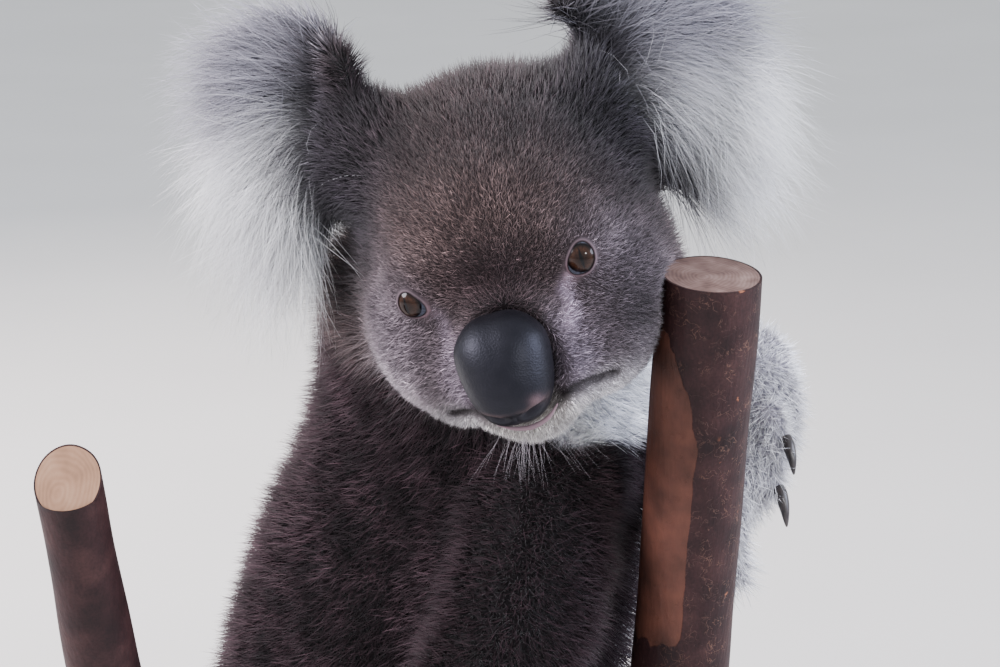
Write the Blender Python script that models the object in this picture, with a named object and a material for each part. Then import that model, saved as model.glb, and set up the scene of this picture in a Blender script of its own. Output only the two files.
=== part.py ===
"""Koala, life size, as a still museum model.

The koala sits in the fork of a cut branch, right side to the front, and turns its head over its
right shoulder.  It holds the upright pole of the fork with both hands and both feet, and its
rump rests on the side limb.  Two short rods carry the branch above a flat base.

Millimetres, +X the way the chest faces, +Z up, origin in the middle of the base's underside.
The body is modelled whole, out to the tips of the coat, and then parted with thin flat cuts.
"""
import math

import bmesh
import bpy
from mathutils import Euler, Matrix, Vector

MM = 0.001                      # the numbers below are millimetres
GAP = 0.3                       # clearance between neighbouring pieces

# ---------------------------------------------------------------- driving dimensions
HEAD_CENTRE = (34, -60, 499)
HEAD_TURN, HEAD_NOD, HEAD_TILT = -96, 6, 17        # degrees: to the right, down, to the left
EYE_CENTRE = (39.5, 33.5, 6)                        # left eye, in the head's own axes
EYE_RADIUS = 9.5
NOSE_CENTRE = (65, -1.5, -22.5)
NOSE_RADII = (17, 19, 22)
NOSE_SLOPE = -14                                   # degrees, top of the pad further back

POLE_FOOT = (93.8, -16, 38)
POLE_HEAD = (112, -82, 497)
POLE_RADII = (22.5, 19.8)                          # foot, head
LIMB_PATH = [(88, -12, 62), (34, 6, 70), (-25, 12, 80), (-78, -6, 98), (-110, -40, 146),
             (-121, -80, 235), (-127, -118, 340), (-132, -150, 434)]
LIMB_RADII = [20, 20, 20, 19, 18, 16, 14.2, 12.8]
LIMB_SIDES = 16
LIMB_SLANT = 33                                    # degrees, the sawn end faces -Y

BASE_SIZE = (430, 350, 18)
BASE_CORNER = 40
ROD_RADIUS = 9
LIMB_ROD_AT = (-52, 8)

BODY_VOXEL = 3.5
BODY_TRIANGLES = 3300
SCRAP_FACES = 24                # slivers that a cut leaves behind are thrown away
CLAW_RADIUS = 3.2

COAT = (0.075, 0.062, 0.060, 1)
SKIN_BLACK = (0.018, 0.018, 0.022, 1)
IRIS_BROWN = (0.10, 0.035, 0.015, 1)
HORN = (0.03, 0.026, 0.024, 1)
BARK = (0.13, 0.045, 0.03, 1)
STAND_GREY = (0.55, 0.55, 0.54, 1)


# ---------------------------------------------------------------- small helpers
def vec(point):
    return Vector(point) * MM


def new_object(name, bm):
    """Turn a bmesh into a named object with smooth faces."""
    mesh = bpy.data.meshes.new(name)
    bmesh.ops.recalc_face_normals(bm, faces=bm.faces)
    bm.to_mesh(mesh)
    bm.free()
    mesh.shade_smooth()
    obj = bpy.data.objects.new(name, mesh)
    bpy.context.scene.collection.objects.link(obj)
    return obj


def give_material(obj, name, colour, roughness):
    material = bpy.data.materials.get(name) or bpy.data.materials.new(name)
    material.use_nodes = True
    shader = material.node_tree.nodes["Principled BSDF"]
    shader.inputs["Base Color"].default_value = colour
    shader.inputs["Roughness"].default_value = roughness
    obj.data.materials.clear()
    obj.data.materials.append(material)


def evaluated(obj):
    """Apply an object's modifiers to its mesh."""
    depsgraph = bpy.context.evaluated_depsgraph_get()
    mesh = bpy.data.meshes.new_from_object(obj.evaluated_get(depsgraph))
    obj.modifiers.clear()
    obj.data = mesh
    return obj


def remove(obj):
    bpy.data.objects.remove(obj, do_unlink=True)


def cut(obj, *cutters):
    """Take the cutters away from the object; the cutters stay."""
    for cutter in cutters:
        boolean = obj.modifiers.new("cut", "BOOLEAN")
        boolean.operation = "DIFFERENCE"
        boolean.solver = "EXACT"
        boolean.object = cutter
        evaluated(obj)
    return obj


def smooth_path(points, radii, step):
    """Points and radii along a Catmull-Rom curve, about one step apart."""
    points = [Vector(p) for p in points]
    ends = [2 * points[0] - points[1]] + points + [2 * points[-1] - points[-2]]
    path = []
    for i in range(1, len(ends) - 2):
        a, b, c, d = ends[i - 1:i + 3]
        count = max(1, round((c - b).length / step))
        for k in range(count):
            t = k / count
            place = 0.5 * (2 * b + (c - a) * t + (2 * a - 5 * b + 4 * c - d) * t * t
                           + (3 * b - a - 3 * c + d) * t ** 3)
            path.append((place, radii[i - 1] * (1 - t) + radii[i] * t))
    path.append((points[-1], radii[-1]))
    return path


def tube(path, sides, grow=0.0, end_offset=0.0):
    """A closed round tube through (point, radius) pairs, widened by grow."""
    bm = bmesh.new()
    rings = []
    side = None
    for i, (place, radius) in enumerate(path):
        before, after = path[max(i - 1, 0)][0], path[min(i + 1, len(path) - 1)][0]
        along = (after - before).normalized()
        if side is None:
            side = along.orthogonal().normalized()
        side = (side - along * side.dot(along)).normalized()
        other = along.cross(side)
        if i == 0:
            place = place - along * end_offset
        if i == len(path) - 1:
            place = place + along * end_offset
        rings.append([bm.verts.new((place + (side * math.cos(turn) + other * math.sin(turn))
                                    * (radius + grow)) * MM)
                      for turn in (2 * math.pi * k / sides for k in range(sides))])
    for ring, following in zip(rings, rings[1:]):
        for k in range(sides):
            j = (k + 1) % sides
            bm.faces.new((ring[k], ring[j], following[j], following[k]))
    bm.faces.new(list(reversed(rings[0])))
    bm.faces.new(rings[-1])
    return bm


# ---------------------------------------------------------------- the masses of the body
HEAD_FRAME = (Matrix.Translation(vec(HEAD_CENTRE))
              @ Matrix.Rotation(math.radians(HEAD_TURN), 4, "Z")
              @ Matrix.Rotation(math.radians(HEAD_NOD), 4, "Y")
              @ Matrix.Rotation(math.radians(HEAD_TILT), 4, "X"))
WORLD = Matrix()


def lump(bm, centre, radii, frame=WORLD, pitch=0.0, yaw=0.0, detail=3):
    """An ellipsoid: its centre, three radii, and how it is pitched and turned in its frame."""
    turned = Euler((0, math.radians(pitch), math.radians(yaw))).to_matrix().to_4x4()
    place = frame @ Matrix.Translation(vec(centre)) @ turned @ Matrix.Diagonal((*vec(radii), 1))
    bmesh.ops.create_icosphere(bm, subdivisions=detail, radius=1, matrix=place)


def run(bm, points, radii, frame=WORLD, step=6):
    """A limb or a ridge: balls along a smooth path."""
    for place, radius in smooth_path(points, radii, step):
        lump(bm, place, (radius,) * 3, frame, detail=2)


def mirrored(point, side):
    return point[0], point[1] * side, point[2]


def pole_at(height):
    """The middle of the pole at a height."""
    share = (height - POLE_FOOT[2]) / (POLE_HEAD[2] - POLE_FOOT[2])
    return Vector(POLE_FOOT).lerp(Vector(POLE_HEAD), share)


def round_pole(degrees, height, off):
    """A point beside the pole: compass angle from +X, height, distance from its axis."""
    turn = math.radians(degrees)
    return pole_at(height) + Vector((math.cos(turn), math.sin(turn), 0)) * off


def head_masses(bm):
    frame = HEAD_FRAME
    lump(bm, (-11, 1, 17), (60, 61, 61), frame)                 # cranium
    lump(bm, (20, 0, 20), (36, 46, 42), frame)                  # forehead
    lump(bm, (0, 0, -20), (50, 52, 40), frame)                  # throat and jaw hinge
    for side in (-1, 1):
        lump(bm, (2, 36 * side, -16), (46, 33, 44), frame)      # cheek
        lump(bm, (22, 27 * side, -30), (34, 26, 30), frame)     # front of the cheek
        lump(bm, (30, 24 * side, 12), (22, 20, 22), frame)      # brow over the eye
        lump(bm, (52, 12 * side, -38), (20, 15, 17), frame)     # upper lip
    lump(bm, (42, 0, -24), (32, 25, 28), frame)                 # muzzle
    lump(bm, (44, 0, -48), (26, 20, 16), frame)                 # chin


RIGHT_EAR = {
    "plate": ((-34, -80, 65), (20, 31, 42)),
    "rim": [(-20, -46, 90), (-38, -63, 106), (-39, -89, 101), (-36, -101, 77), (-25, -105, 51),
            (-11, -105, 24)],
    "rim_radii": [13, 13, 14, 13, 13, 8],
    "fringe": ((-18, -91, 34), (15, 22, 30)),
    "root": [(-16, -40, 49), (-28, -63, 57)],
    "root_radii": [30, 25],
}
LEFT_EAR = {
    "plate": ((-51, 71, 44), (20, 38, 45)),
    "rim": [(-37, 45, 86), (-60, 58, 101), (-65, 85, 89), (-52, 101, 52), (-42, 102, 19),
            (-33, 96, -3)],
    "rim_radii": [13, 15, 16, 15, 13, 9],
    "fringe": ((-36, 83, 12), (15, 24, 26)),
    "root": [(-20, 40, 39), (-39, 62, 41)],
    "root_radii": [32, 28],
}


def ear_masses(bm, ear):
    lump(bm, *ear["plate"], HEAD_FRAME)
    lump(bm, *ear["fringe"], HEAD_FRAME)
    run(bm, ear["rim"], ear["rim_radii"], HEAD_FRAME)
    run(bm, ear["root"], ear["root_radii"], HEAD_FRAME)


# Neck and trunk, from the nape down: middle, half length, half width
TRUNK_ROWS = [
    ((31, -14, 490), 60, 62), ((24, 6, 458), 76, 72), ((24, 18, 425), 81, 78),
    ((20, 24, 392), 86, 84), ((3, 24, 345), 92, 86), ((-12, 25, 295), 92, 88),
    ((-23, 26, 245), 88, 90), ((-27, 25, 195), 81, 93), ((-28, 23, 150), 68, 84),
]
TRUNK_STEP = 9
TRUNK_ROUND = 48                # half height of each slice


def trunk_masses(bm):
    lengths, widths = [row[1] for row in TRUNK_ROWS], [row[2] for row in TRUNK_ROWS]
    middles = [row[0] for row in TRUNK_ROWS]
    for (place, length), (_, width) in zip(smooth_path(middles, lengths, TRUNK_STEP),
                                           smooth_path(middles, widths, TRUNK_STEP)):
        lump(bm, place, (length, width, TRUNK_ROUND))
    lump(bm, (46, 12, 404), (60, 64, 50))                                    # chest ruff


# Arms: shoulder, upper arm, elbow and wrist, with the thickness of the coat
RIGHT_ARM = [(48, -42, 396), (34, -80, 344), (8, -99, 298), (44, -98, 286), (74, -86, 278)]
RIGHT_ARM_RADII = [42, 38, 30, 25, 21]
LEFT_ARM = [(52, 82, 392), (92, 112, 384), (124, 92, 400), (142, 44, 424)]
LEFT_ARM_RADII = [44, 37, 31, 26]


def arm_masses(bm):
    run(bm, RIGHT_ARM, RIGHT_ARM_RADII)
    run(bm, LEFT_ARM, LEFT_ARM_RADII)


# Legs: hip, thigh, knee, shin and ankle
RIGHT_LEG = [(-30, -40, 176), (28, -80, 198), (86, -94, 206), (93, -84, 168), (77, -68, 128)]
LEFT_LEG = [(-30, 88, 176), (28, 128, 198), (86, 132, 206), (99, 96, 168), (95, 48, 128)]
LEG_RADII = [54, 44, 32, 25, 20]


def leg_masses(bm):
    run(bm, RIGHT_LEG, LEG_RADII)
    run(bm, LEFT_LEG, LEG_RADII)


# Digits round the pole: where they leave the palm, where they end, as (angle, height)
FINGER_OFF = 27.5
DIGITS = {
    "hand_right": {
        "palm": [(74, -86, 278), (81, -74, 275), (84, -64, 272)],
        "palm_radii": [21, 18, 15],
        "digits": [((236, 256), (316, 249)), ((236, 271), (326, 267)), ((236, 286), (320, 285)),
                   ((190, 264), (124, 262)), ((190, 281), (118, 280))],
    },
    "hand_left": {
        "palm": [(142, 44, 424), (142, 14, 404), (128, -22, 384)],
        "palm_radii": [26, 22, 17],
        "digits": [((50, 388), (90, 382)), ((44, 372), (84, 365)), ((34, 356), (76, 347))],
    },
    "foot_right": {
        "palm": [(77, -68, 128), (81, -61, 110), (83, -53, 100)],
        "palm_radii": [20, 18, 15],
        "digits": [((236, 78), (286, 72)), ((236, 93), (294, 90)), ((236, 108), (296, 108)),
                   ((236, 122), (288, 125)), ((200, 90), (156, 88))],
    },
    "foot_left": {
        "palm": [(95, 48, 128), (98, 24, 110), (98, 8, 100)],
        "palm_radii": [20, 18, 15],
        "digits": [((90, 78), (54, 72)), ((90, 93), (46, 90)), ((90, 108), (44, 108)),
                   ((90, 122), (52, 125)), ((120, 122), (160, 126))],
    },
}
FREE_DIGITS = [[(140, 8, 414), (147, -10, 418), (151, -21, 411)],
               [(136, -2, 402), (144, -18, 400), (148, -28, 391)]]
DIGIT_RADII = (9, 7)
THUMB_TOE_RADII = (10, 8.5)


def digit_path(start, end):
    """A digit bent round the pole, as (point, radius) pairs."""
    (from_angle, from_height), (to_angle, to_height) = start, end
    steps = 6
    points = []
    for k in range(steps + 1):
        t = k / steps
        off = FINGER_OFF + 3 * (1 - t)
        points.append(round_pole(from_angle + (to_angle - from_angle) * t,
                                 from_height + (to_height - from_height) * t, off))
    return points


def all_digits():
    """Every digit's name, path and whether it bears a claw."""
    rows = []
    for hand, parts in DIGITS.items():
        for number, (start, end) in enumerate(parts["digits"], 1):
            clawed = not (hand.startswith("foot") and number == 5)
            rows.append((f"claw_{hand}_{number}", digit_path(start, end), clawed))
    for number, points in enumerate(FREE_DIGITS, 4):
        rows.append((f"claw_hand_left_{number}", [Vector(p) for p in points], True))
    return rows


def digit_masses(bm):
    for parts in DIGITS.values():
        run(bm, parts["palm"], parts["palm_radii"])
    for _, points, clawed in all_digits():
        thick, thin = DIGIT_RADII if clawed else THUMB_TOE_RADII
        radii = [thick + (thin - thick) * k / (len(points) - 1) for k in range(len(points))]
        run(bm, points, radii, step=4)


# ---------------------------------------------------------------- body, parted
def body_whole():
    bm = bmesh.new()
    head_masses(bm)
    ear_masses(bm, RIGHT_EAR)
    ear_masses(bm, LEFT_EAR)
    trunk_masses(bm)
    arm_masses(bm)
    leg_masses(bm)
    digit_masses(bm)
    body = new_object("body", bm)
    remesh = body.modifiers.new("join", "REMESH")
    remesh.mode = "VOXEL"
    remesh.voxel_size = BODY_VOXEL * MM
    smooth = body.modifiers.new("soften", "SMOOTH")
    smooth.factor = 0.5
    smooth.iterations = 10
    body.modifiers.new("triangles", "TRIANGULATE")
    evaluated(body)
    decimate = body.modifiers.new("thin", "DECIMATE")
    decimate.ratio = BODY_TRIANGLES / len(body.data.polygons)
    return evaluated(body)


# Thin cuts, in turn: what is cut, the part beyond, the frame, the middle of the cut, the way
# to the part beyond, and the radius
CUTS = [
    ("trunk", "head", WORLD, (27, -20, 462), (0, -0.5, 0.87), 112),
    ("head", "ear_right", HEAD_FRAME, (-24, -61, 57), (-0.2, -0.94, 0.26), 57),
    ("head", "ear_left", HEAD_FRAME, (-31, 54, 41), (-0.28, 0.94, 0.17), 70),
    ("trunk", "neck", WORLD, (24, 14, 440), (0, 0, 1), 100),
    ("trunk", "upper_arm_right", WORLD, (10, -68, 372), (0, -1, 0), 104),
    ("upper_arm_right", "forearm_right", WORLD, (12, -97, 303), (0.34, -0.21, -0.92), 60),
    ("forearm_right", "hand_right", WORLD, (66, -89, 280), (0.9, 0.36, -0.25), 30),
    ("trunk", "upper_arm_left", WORLD, (72, 97, 388), (0.8, 0.6, -0.16), 54),
    ("upper_arm_left", "forearm_left", WORLD, (110, 104, 392), (0.8, -0.5, 0.4), 50),
    ("forearm_left", "hand_left", WORLD, (142, 34, 417), (0, -0.83, -0.55), 36),
    ("trunk", "thigh_right", WORLD, (48, -86, 202), (0.95, -0.2, 0.1), 47),
    ("thigh_right", "shin_right", WORLD, (90, -81, 158), (-0.25, 0.3, -0.9), 31),
    ("shin_right", "foot_right", WORLD, (80, -71, 136), (-0.3, 0.35, -0.88), 28),
    ("trunk", "thigh_left", WORLD, (48, 131, 202), (0.95, 0.1, 0.1), 47),
    ("thigh_left", "shin_left", WORLD, (98, 92, 166), (0, -0.7, -0.7), 34),
    ("shin_left", "foot_left", WORLD, (96, 62, 140), (0, -0.72, -0.69), 28),
]


def thin_cut(frame, centre, facing, radius):
    """A disc one gap thick, across the body."""
    bm = bmesh.new()
    turned = Vector(facing).to_track_quat("Z", "Y").to_matrix().to_4x4()
    bmesh.ops.create_cone(bm, cap_ends=True, segments=24, radius1=radius * MM,
                          radius2=radius * MM, depth=GAP * MM,
                          matrix=frame @ Matrix.Translation(vec(centre)) @ turned)
    return new_object("cutter", bm)


def shells(bm):
    """The separate closed bodies of a mesh, as lists of faces."""
    left, found = set(bm.faces), []
    while left:
        stack = [left.pop()]
        shell = list(stack)
        while stack:
            for edge in stack.pop().edges:
                for face in edge.link_faces:
                    if face in left:
                        left.remove(face)
                        stack.append(face)
                        shell.append(face)
        found.append(shell)
    return found


def piece_of(bm, faces, name):
    """A new object from some of a mesh's faces."""
    piece, points = bmesh.new(), {}
    for face in faces:
        for vert in face.verts:
            if vert not in points:
                points[vert] = piece.verts.new(vert.co)
        piece.faces.new([points[vert] for vert in face.verts])
    obj = new_object(name, piece)
    give_material(obj, "coat", COAT, 0.9)
    return obj


def part_off(pieces, source, name, frame, centre, facing, radius):
    """Cut one part from another: the shell with the cut's far face gets the new name."""
    cutter = thin_cut(frame, centre, facing, radius)
    whole = cut(pieces[source], cutter)
    middle = frame @ vec(centre)
    way = (frame.to_3x3() @ Vector(facing)).normalized()
    bm = bmesh.new()
    bm.from_mesh(whole.data)

    def far_face(shell):
        """The area that a shell has on the far face of the cut."""
        return sum(face.calc_area() for face in shell
                   if all(abs((vert.co - middle).dot(way) - GAP * MM / 2) < GAP * MM / 20
                          and (vert.co - middle).length < radius * MM for vert in face.verts))

    found = [shell for shell in shells(bm) if len(shell) >= SCRAP_FACES]
    beyond = max(found, key=far_face)
    rest = [face for shell in found if shell is not beyond for face in shell]
    remove(cutter)
    remove(whole)
    pieces[name] = piece_of(bm, beyond, name)
    pieces[source] = piece_of(bm, rest, source)
    bm.free()


# ---------------------------------------------------------------- eyes, nose and claws
def eye(name, side, grow=0.0):
    bm = bmesh.new()
    radius = EYE_RADIUS + grow
    lump(bm, mirrored(EYE_CENTRE, side), (radius,) * 3, HEAD_FRAME, detail=2)
    return new_object(name, bm)


def eye_opening(side):
    """The dish in the coat round an eye."""
    bm = bmesh.new()
    x, y, z = mirrored(EYE_CENTRE, side)
    lump(bm, (x + 7, y + side, z), (9.5, 9, 9), HEAD_FRAME, pitch=20, detail=2)
    return new_object("cutter", bm)


def nose(name, grow=0.0):
    bm = bmesh.new()
    lump(bm, NOSE_CENTRE, [r + grow for r in NOSE_RADII], HEAD_FRAME, pitch=NOSE_SLOPE,
         detail=2)
    return new_object(name, bm)


def claw_paths():
    """Each claw's path: on round the pole and down to the bark, or hooked over in the air."""
    rows = []
    for hand, parts in DIGITS.items():
        for number, ((start, _), (end, height)) in enumerate(parts["digits"], 1):
            if hand.startswith("foot") and number == 5:
                continue
            way = 1 if end > start else -1
            bark = POLE_RADII[0] + 2
            points = [round_pole(end + way * turn, height - drop, bark + lift)
                      for turn, drop, lift in ((-4, 0, 4.5), (12, 0, 5), (28, 1, 3.5),
                                               (44, 3, 0.4))]
            rows.append((f"claw_{hand}_{number}", points))
    for number, digit in enumerate(FREE_DIGITS, 4):
        before, last = Vector(digit[-2]), Vector(digit[-1])
        along = (last - before).normalized()
        points = [last, last + along * 5 + Vector((0, 0, -1)),
                  last + along * 9 + Vector((0, 0, -4)), last + along * 11 + Vector((0, 0, -9))]
        rows.append((f"claw_hand_left_{number}", points))
    return rows


def claw(name, points, grow=0.0):
    radii = [CLAW_RADIUS, CLAW_RADIUS, CLAW_RADIUS * 0.7, 0.6]
    path = smooth_path(points, radii, 8)
    return new_object(name, tube(path, 6, grow, grow))


# ---------------------------------------------------------------- perch and stand
def pole(name, grow=0.0):
    path = [(Vector(POLE_FOOT), POLE_RADII[0]), (Vector(POLE_HEAD), POLE_RADII[1])]
    return new_object(name, tube(path, 24, grow, grow))


def limb(name, grow=0.0):
    path = smooth_path(LIMB_PATH, LIMB_RADII, 38)
    bm = tube(path, LIMB_SIDES, grow, grow)
    bm.verts.ensure_lookup_table()
    end, before = path[-1][0] * MM, path[-2][0] * MM
    for vert in bm.verts[-LIMB_SIDES:]:
        slide = (vert.co - end).y * math.tan(math.radians(LIMB_SLANT))
        vert.co += (end - before).normalized() * slide
    return new_object(name, bm)


def stand_base():
    bm = bmesh.new()
    length, width, height = BASE_SIZE
    bmesh.ops.create_cube(bm, size=1, matrix=Matrix.Translation(vec((0, 0, height / 2)))
                          @ Matrix.Diagonal((*vec(BASE_SIZE), 1)))
    upright = [e for e in bm.edges if abs(e.verts[0].co.z - e.verts[1].co.z) > MM]
    bmesh.ops.bevel(bm, geom=upright, offset=BASE_CORNER * MM, segments=6, profile=0.5,
                    affect="EDGES")
    top = [e for e in bm.edges if all(v.co.z > (height - 1) * MM for v in e.verts)
           and e.calc_face_angle(0) > 0.5]
    bmesh.ops.bevel(bm, geom=top, offset=2 * MM, segments=2, profile=0.5, affect="EDGES")
    return new_object("stand_base", bm)


def stand_rod(name, place, top):
    """A round rod from the base's top up to a height."""
    bottom = BASE_SIZE[2] + GAP
    bm = bmesh.new()
    bmesh.ops.create_cone(bm, cap_ends=True, segments=16, radius1=ROD_RADIUS * MM,
                          radius2=ROD_RADIUS * MM, depth=(top - bottom) * MM,
                          matrix=Matrix.Translation(vec((*place, (top + bottom) / 2))))
    return new_object(name, bm)


# ---------------------------------------------------------------- the model
for old in list(bpy.data.objects):
    bpy.data.objects.remove(old, do_unlink=True)

pole_cutter, limb_cutter = pole("cutter", GAP), limb("cutter", GAP)
give_material(pole("perch_pole"), "bark", BARK, 0.7)
give_material(cut(limb("perch_limb"), pole_cutter), "bark", BARK, 0.7)

give_material(stand_base(), "stand_board", STAND_GREY, 0.5)
pole_rod = cut(stand_rod("stand_rod_pole", POLE_FOOT[:2], POLE_FOOT[2] + 10), pole_cutter)
limb_rod = cut(stand_rod("stand_rod_limb", LIMB_ROD_AT, 90), limb_cutter)
for rod in (pole_rod, limb_rod):
    give_material(rod, "stand_rod", STAND_GREY, 0.4)

body = body_whole()
cutters = [pole_cutter, limb_cutter, nose("cutter", GAP)]
give_material(nose("nose"), "nose_leather", SKIN_BLACK, 0.4)
for side, name in ((-1, "eye_right"), (1, "eye_left")):
    give_material(eye(name, side), "eye", IRIS_BROWN, 0.1)
    cutters += [eye_opening(side), eye("cutter", side, GAP)]
for name, points in claw_paths():
    give_material(claw(name, points), "claw_horn", HORN, 0.4)
    cutters.append(claw("cutter", points, GAP))
pieces = {"trunk": cut(body, *cutters)}
for row in CUTS:
    part_off(pieces, *row)
for cutter in cutters:
    remove(cutter)
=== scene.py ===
"""Looks of the koala: a life-size museum model in the fork of a cut branch, on a plain stand.

Metres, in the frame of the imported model: +X the way the chest faces, the face looks along -Y.
"""

import math

import bmesh
import bpy
import numpy as np
from mathutils import Matrix, Vector, noise
from mathutils.bvhtree import BVHTree


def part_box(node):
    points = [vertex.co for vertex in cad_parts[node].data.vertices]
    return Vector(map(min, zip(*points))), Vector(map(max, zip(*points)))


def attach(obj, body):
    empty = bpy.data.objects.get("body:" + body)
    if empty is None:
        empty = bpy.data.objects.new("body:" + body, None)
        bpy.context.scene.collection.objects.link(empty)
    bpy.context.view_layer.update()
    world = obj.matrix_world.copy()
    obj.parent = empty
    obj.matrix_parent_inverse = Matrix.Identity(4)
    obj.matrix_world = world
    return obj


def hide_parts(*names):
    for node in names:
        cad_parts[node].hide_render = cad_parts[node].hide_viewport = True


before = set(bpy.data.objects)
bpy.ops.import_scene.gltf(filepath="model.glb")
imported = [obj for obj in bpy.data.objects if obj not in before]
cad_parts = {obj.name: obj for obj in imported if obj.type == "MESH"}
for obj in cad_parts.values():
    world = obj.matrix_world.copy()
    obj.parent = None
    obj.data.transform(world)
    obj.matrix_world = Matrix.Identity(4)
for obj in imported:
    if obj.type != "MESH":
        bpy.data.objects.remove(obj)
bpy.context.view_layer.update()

# ------------------------------------------------------------------ display stand
# A painted fibreboard plate with softly rounded corners, and two turned steel rods screwed up
# through it into the branch.  The plate is sprayed with a fine matt grey texture paint.
MM = 0.001


def srgb(code):
    """A hex colour as a linear RGBA tuple."""
    parts = [int(code[i:i + 2], 16) / 255 for i in (1, 3, 5)]
    return tuple(c / 12.92 if c <= 0.04045 else ((c + 0.055) / 1.055) ** 2.4
                 for c in parts) + (1.0,)


def material(name):
    """A new material; returns it with its node tree and its Principled shader."""
    made = bpy.data.materials.new(name)
    made.use_nodes = True
    return made, made.node_tree, made.node_tree.nodes["Principled BSDF"]


def plug(node, **inputs):
    """Fill a node's inputs, by name or as _number, with values or other nodes' sockets."""
    for key, value in inputs.items():
        socket = node.inputs[int(key[1:]) if key[0] == "_" else key.replace("_", " ")]
        if isinstance(value, bpy.types.NodeSocket):
            node.id_data.links.new(value, socket)
        else:
            socket.default_value = value
    return node


def add(tree, kind, settings=None, **inputs):
    """Add a node: settings are its own properties, the rest goes to its inputs."""
    node = tree.nodes.new(kind)
    for key, value in (settings or {}).items():
        setattr(node, key, value)
    return plug(node, **inputs)


def object_place(tree):
    return add(tree, "ShaderNodeTexCoord").outputs["Object"]


def attribute(tree, name, output="Fac"):
    return add(tree, "ShaderNodeAttribute", {"attribute_name": name}).outputs[output]


def maths(tree, operation, *values):
    inputs = {f"_{i}": value for i, value in enumerate(values)}
    return add(tree, "ShaderNodeMath", {"operation": operation}, **inputs).outputs[0]


def remap(tree, value, low, high, new_low=0.0, new_high=1.0):
    """A value's place between low and high, carried to between two others and kept there."""
    return add(tree, "ShaderNodeMapRange", Value=value, From_Min=low, From_Max=high,
               To_Min=new_low, To_Max=new_high).outputs["Result"]


def noise_at(tree, place, scale, detail=2.0, output="Fac", **inputs):
    """Noise with so many waves to the metre."""
    return add(tree, "ShaderNodeTexNoise", Vector=place, Scale=scale, Detail=detail,
               **inputs).outputs[output]


def mix_of(tree, share, below, above, way="MIX"):
    """A share of one colour over another; each is a socket or a hex code."""
    below, above = (srgb(colour) if isinstance(colour, str) else colour
                    for colour in (below, above))
    return add(tree, "ShaderNodeMix", {"data_type": "RGBA", "blend_type": way}, _0=share,
               _6=below, _7=above).outputs[2]


def ramp(tree, fac, *stops):
    """A colour ramp through (place, hex colour) stops."""
    node = add(tree, "ShaderNodeValToRGB", Fac=fac)
    elements = node.color_ramp.elements
    while len(elements) < len(stops):
        elements.new(0.5)
    for element, (place, colour) in zip(elements, stops):
        element.position = place
        element.color = srgb(colour)
    return node.outputs["Color"]


def bump(tree, shader, height, strength, depth):
    node = add(tree, "ShaderNodeBump", Height=height, Strength=strength, Distance=depth)
    plug(shader, Normal=node.outputs["Normal"])


def object_of(name, mesh):
    obj = bpy.data.objects.new(name, mesh)
    bpy.context.scene.collection.objects.link(obj)
    return obj


def object_from(name, bm):
    mesh = bpy.data.meshes.new(name)
    bm.to_mesh(mesh)
    bm.free()
    return object_of(name, mesh)


def apply_modifiers(obj):
    """The evaluated mesh takes the modifiers' place."""
    depsgraph = bpy.context.evaluated_depsgraph_get()
    mesh = bpy.data.meshes.new_from_object(obj.evaluated_get(depsgraph))
    obj.modifiers.clear()
    obj.data = mesh
    return obj


def subdivide(obj, levels):
    finer = obj.modifiers.new("finer", "SUBSURF")
    finer.levels = finer.render_levels = levels


def finish_piece(obj, look, slot, *nodes, sharp=None):
    """Shade a new piece, smooth up to a sharp angle, let it ride, and hide the parts that it
    replaces.
    """
    obj.data.shade_smooth()
    if sharp:
        obj.data.set_sharp_from_angle(angle=math.radians(sharp))
    obj.data.materials.append(look)
    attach(obj, "root")
    if nodes:
        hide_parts(*nodes)


# texture paint on fibreboard: fine orange-peel of about 1.5 mm, almost no gloss
texture_paint, tree, shader = material("texture_paint")
place = object_place(tree)
shade = noise_at(tree, place, 9, 4)
plug(shader, Base_Color=ramp(tree, shade, (0.3, "#b9b8b5"), (0.7, "#c4c3c0")), Roughness=0.62)
bump(tree, shader, noise_at(tree, place, 650, 3), 0.25, 0.2 * MM)

# powder-coated steel rod: smoother than the board, a soft highlight down its length
powder_coat, tree, shader = material("powder_coated_steel")
speck = noise_at(tree, object_place(tree), 1400)
plug(shader, Base_Color=ramp(tree, speck, (0.3, "#8f8f8e"), (0.7, "#999997")), Roughness=0.38)
bump(tree, shader, speck, 0.15, 0.1 * MM)

board_low, board_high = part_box("stand_base")
BOARD_CORNER = 40 * MM
BOARD_EDGE = 2.4 * MM
bm = bmesh.new()
bmesh.ops.create_cube(bm, size=1, matrix=Matrix.Translation((board_low + board_high) / 2)
                      @ Matrix.Diagonal((*(board_high - board_low), 1)))
upright = [e for e in bm.edges if abs(e.verts[0].co.z - e.verts[1].co.z) > MM]
bmesh.ops.bevel(bm, geom=upright, offset=BOARD_CORNER, segments=20, profile=0.5, affect="EDGES")
rims = [e for e in bm.edges if abs(e.verts[0].co.z - e.verts[1].co.z) < 1e-6
        and any(abs(f.normal.z) > 0.9 for f in e.link_faces)
        and any(abs(f.normal.z) < 0.1 for f in e.link_faces)]
bmesh.ops.bevel(bm, geom=rims, offset=BOARD_EDGE, segments=4, profile=0.5, affect="EDGES")
finish_piece(object_from("stand_board", bm), texture_paint, "stand_board", "stand_base", sharp=40)

for node in ("stand_rod_pole", "stand_rod_limb"):
    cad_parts[node].data.materials.clear()
    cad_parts[node].data.materials.append(powder_coat)

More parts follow.
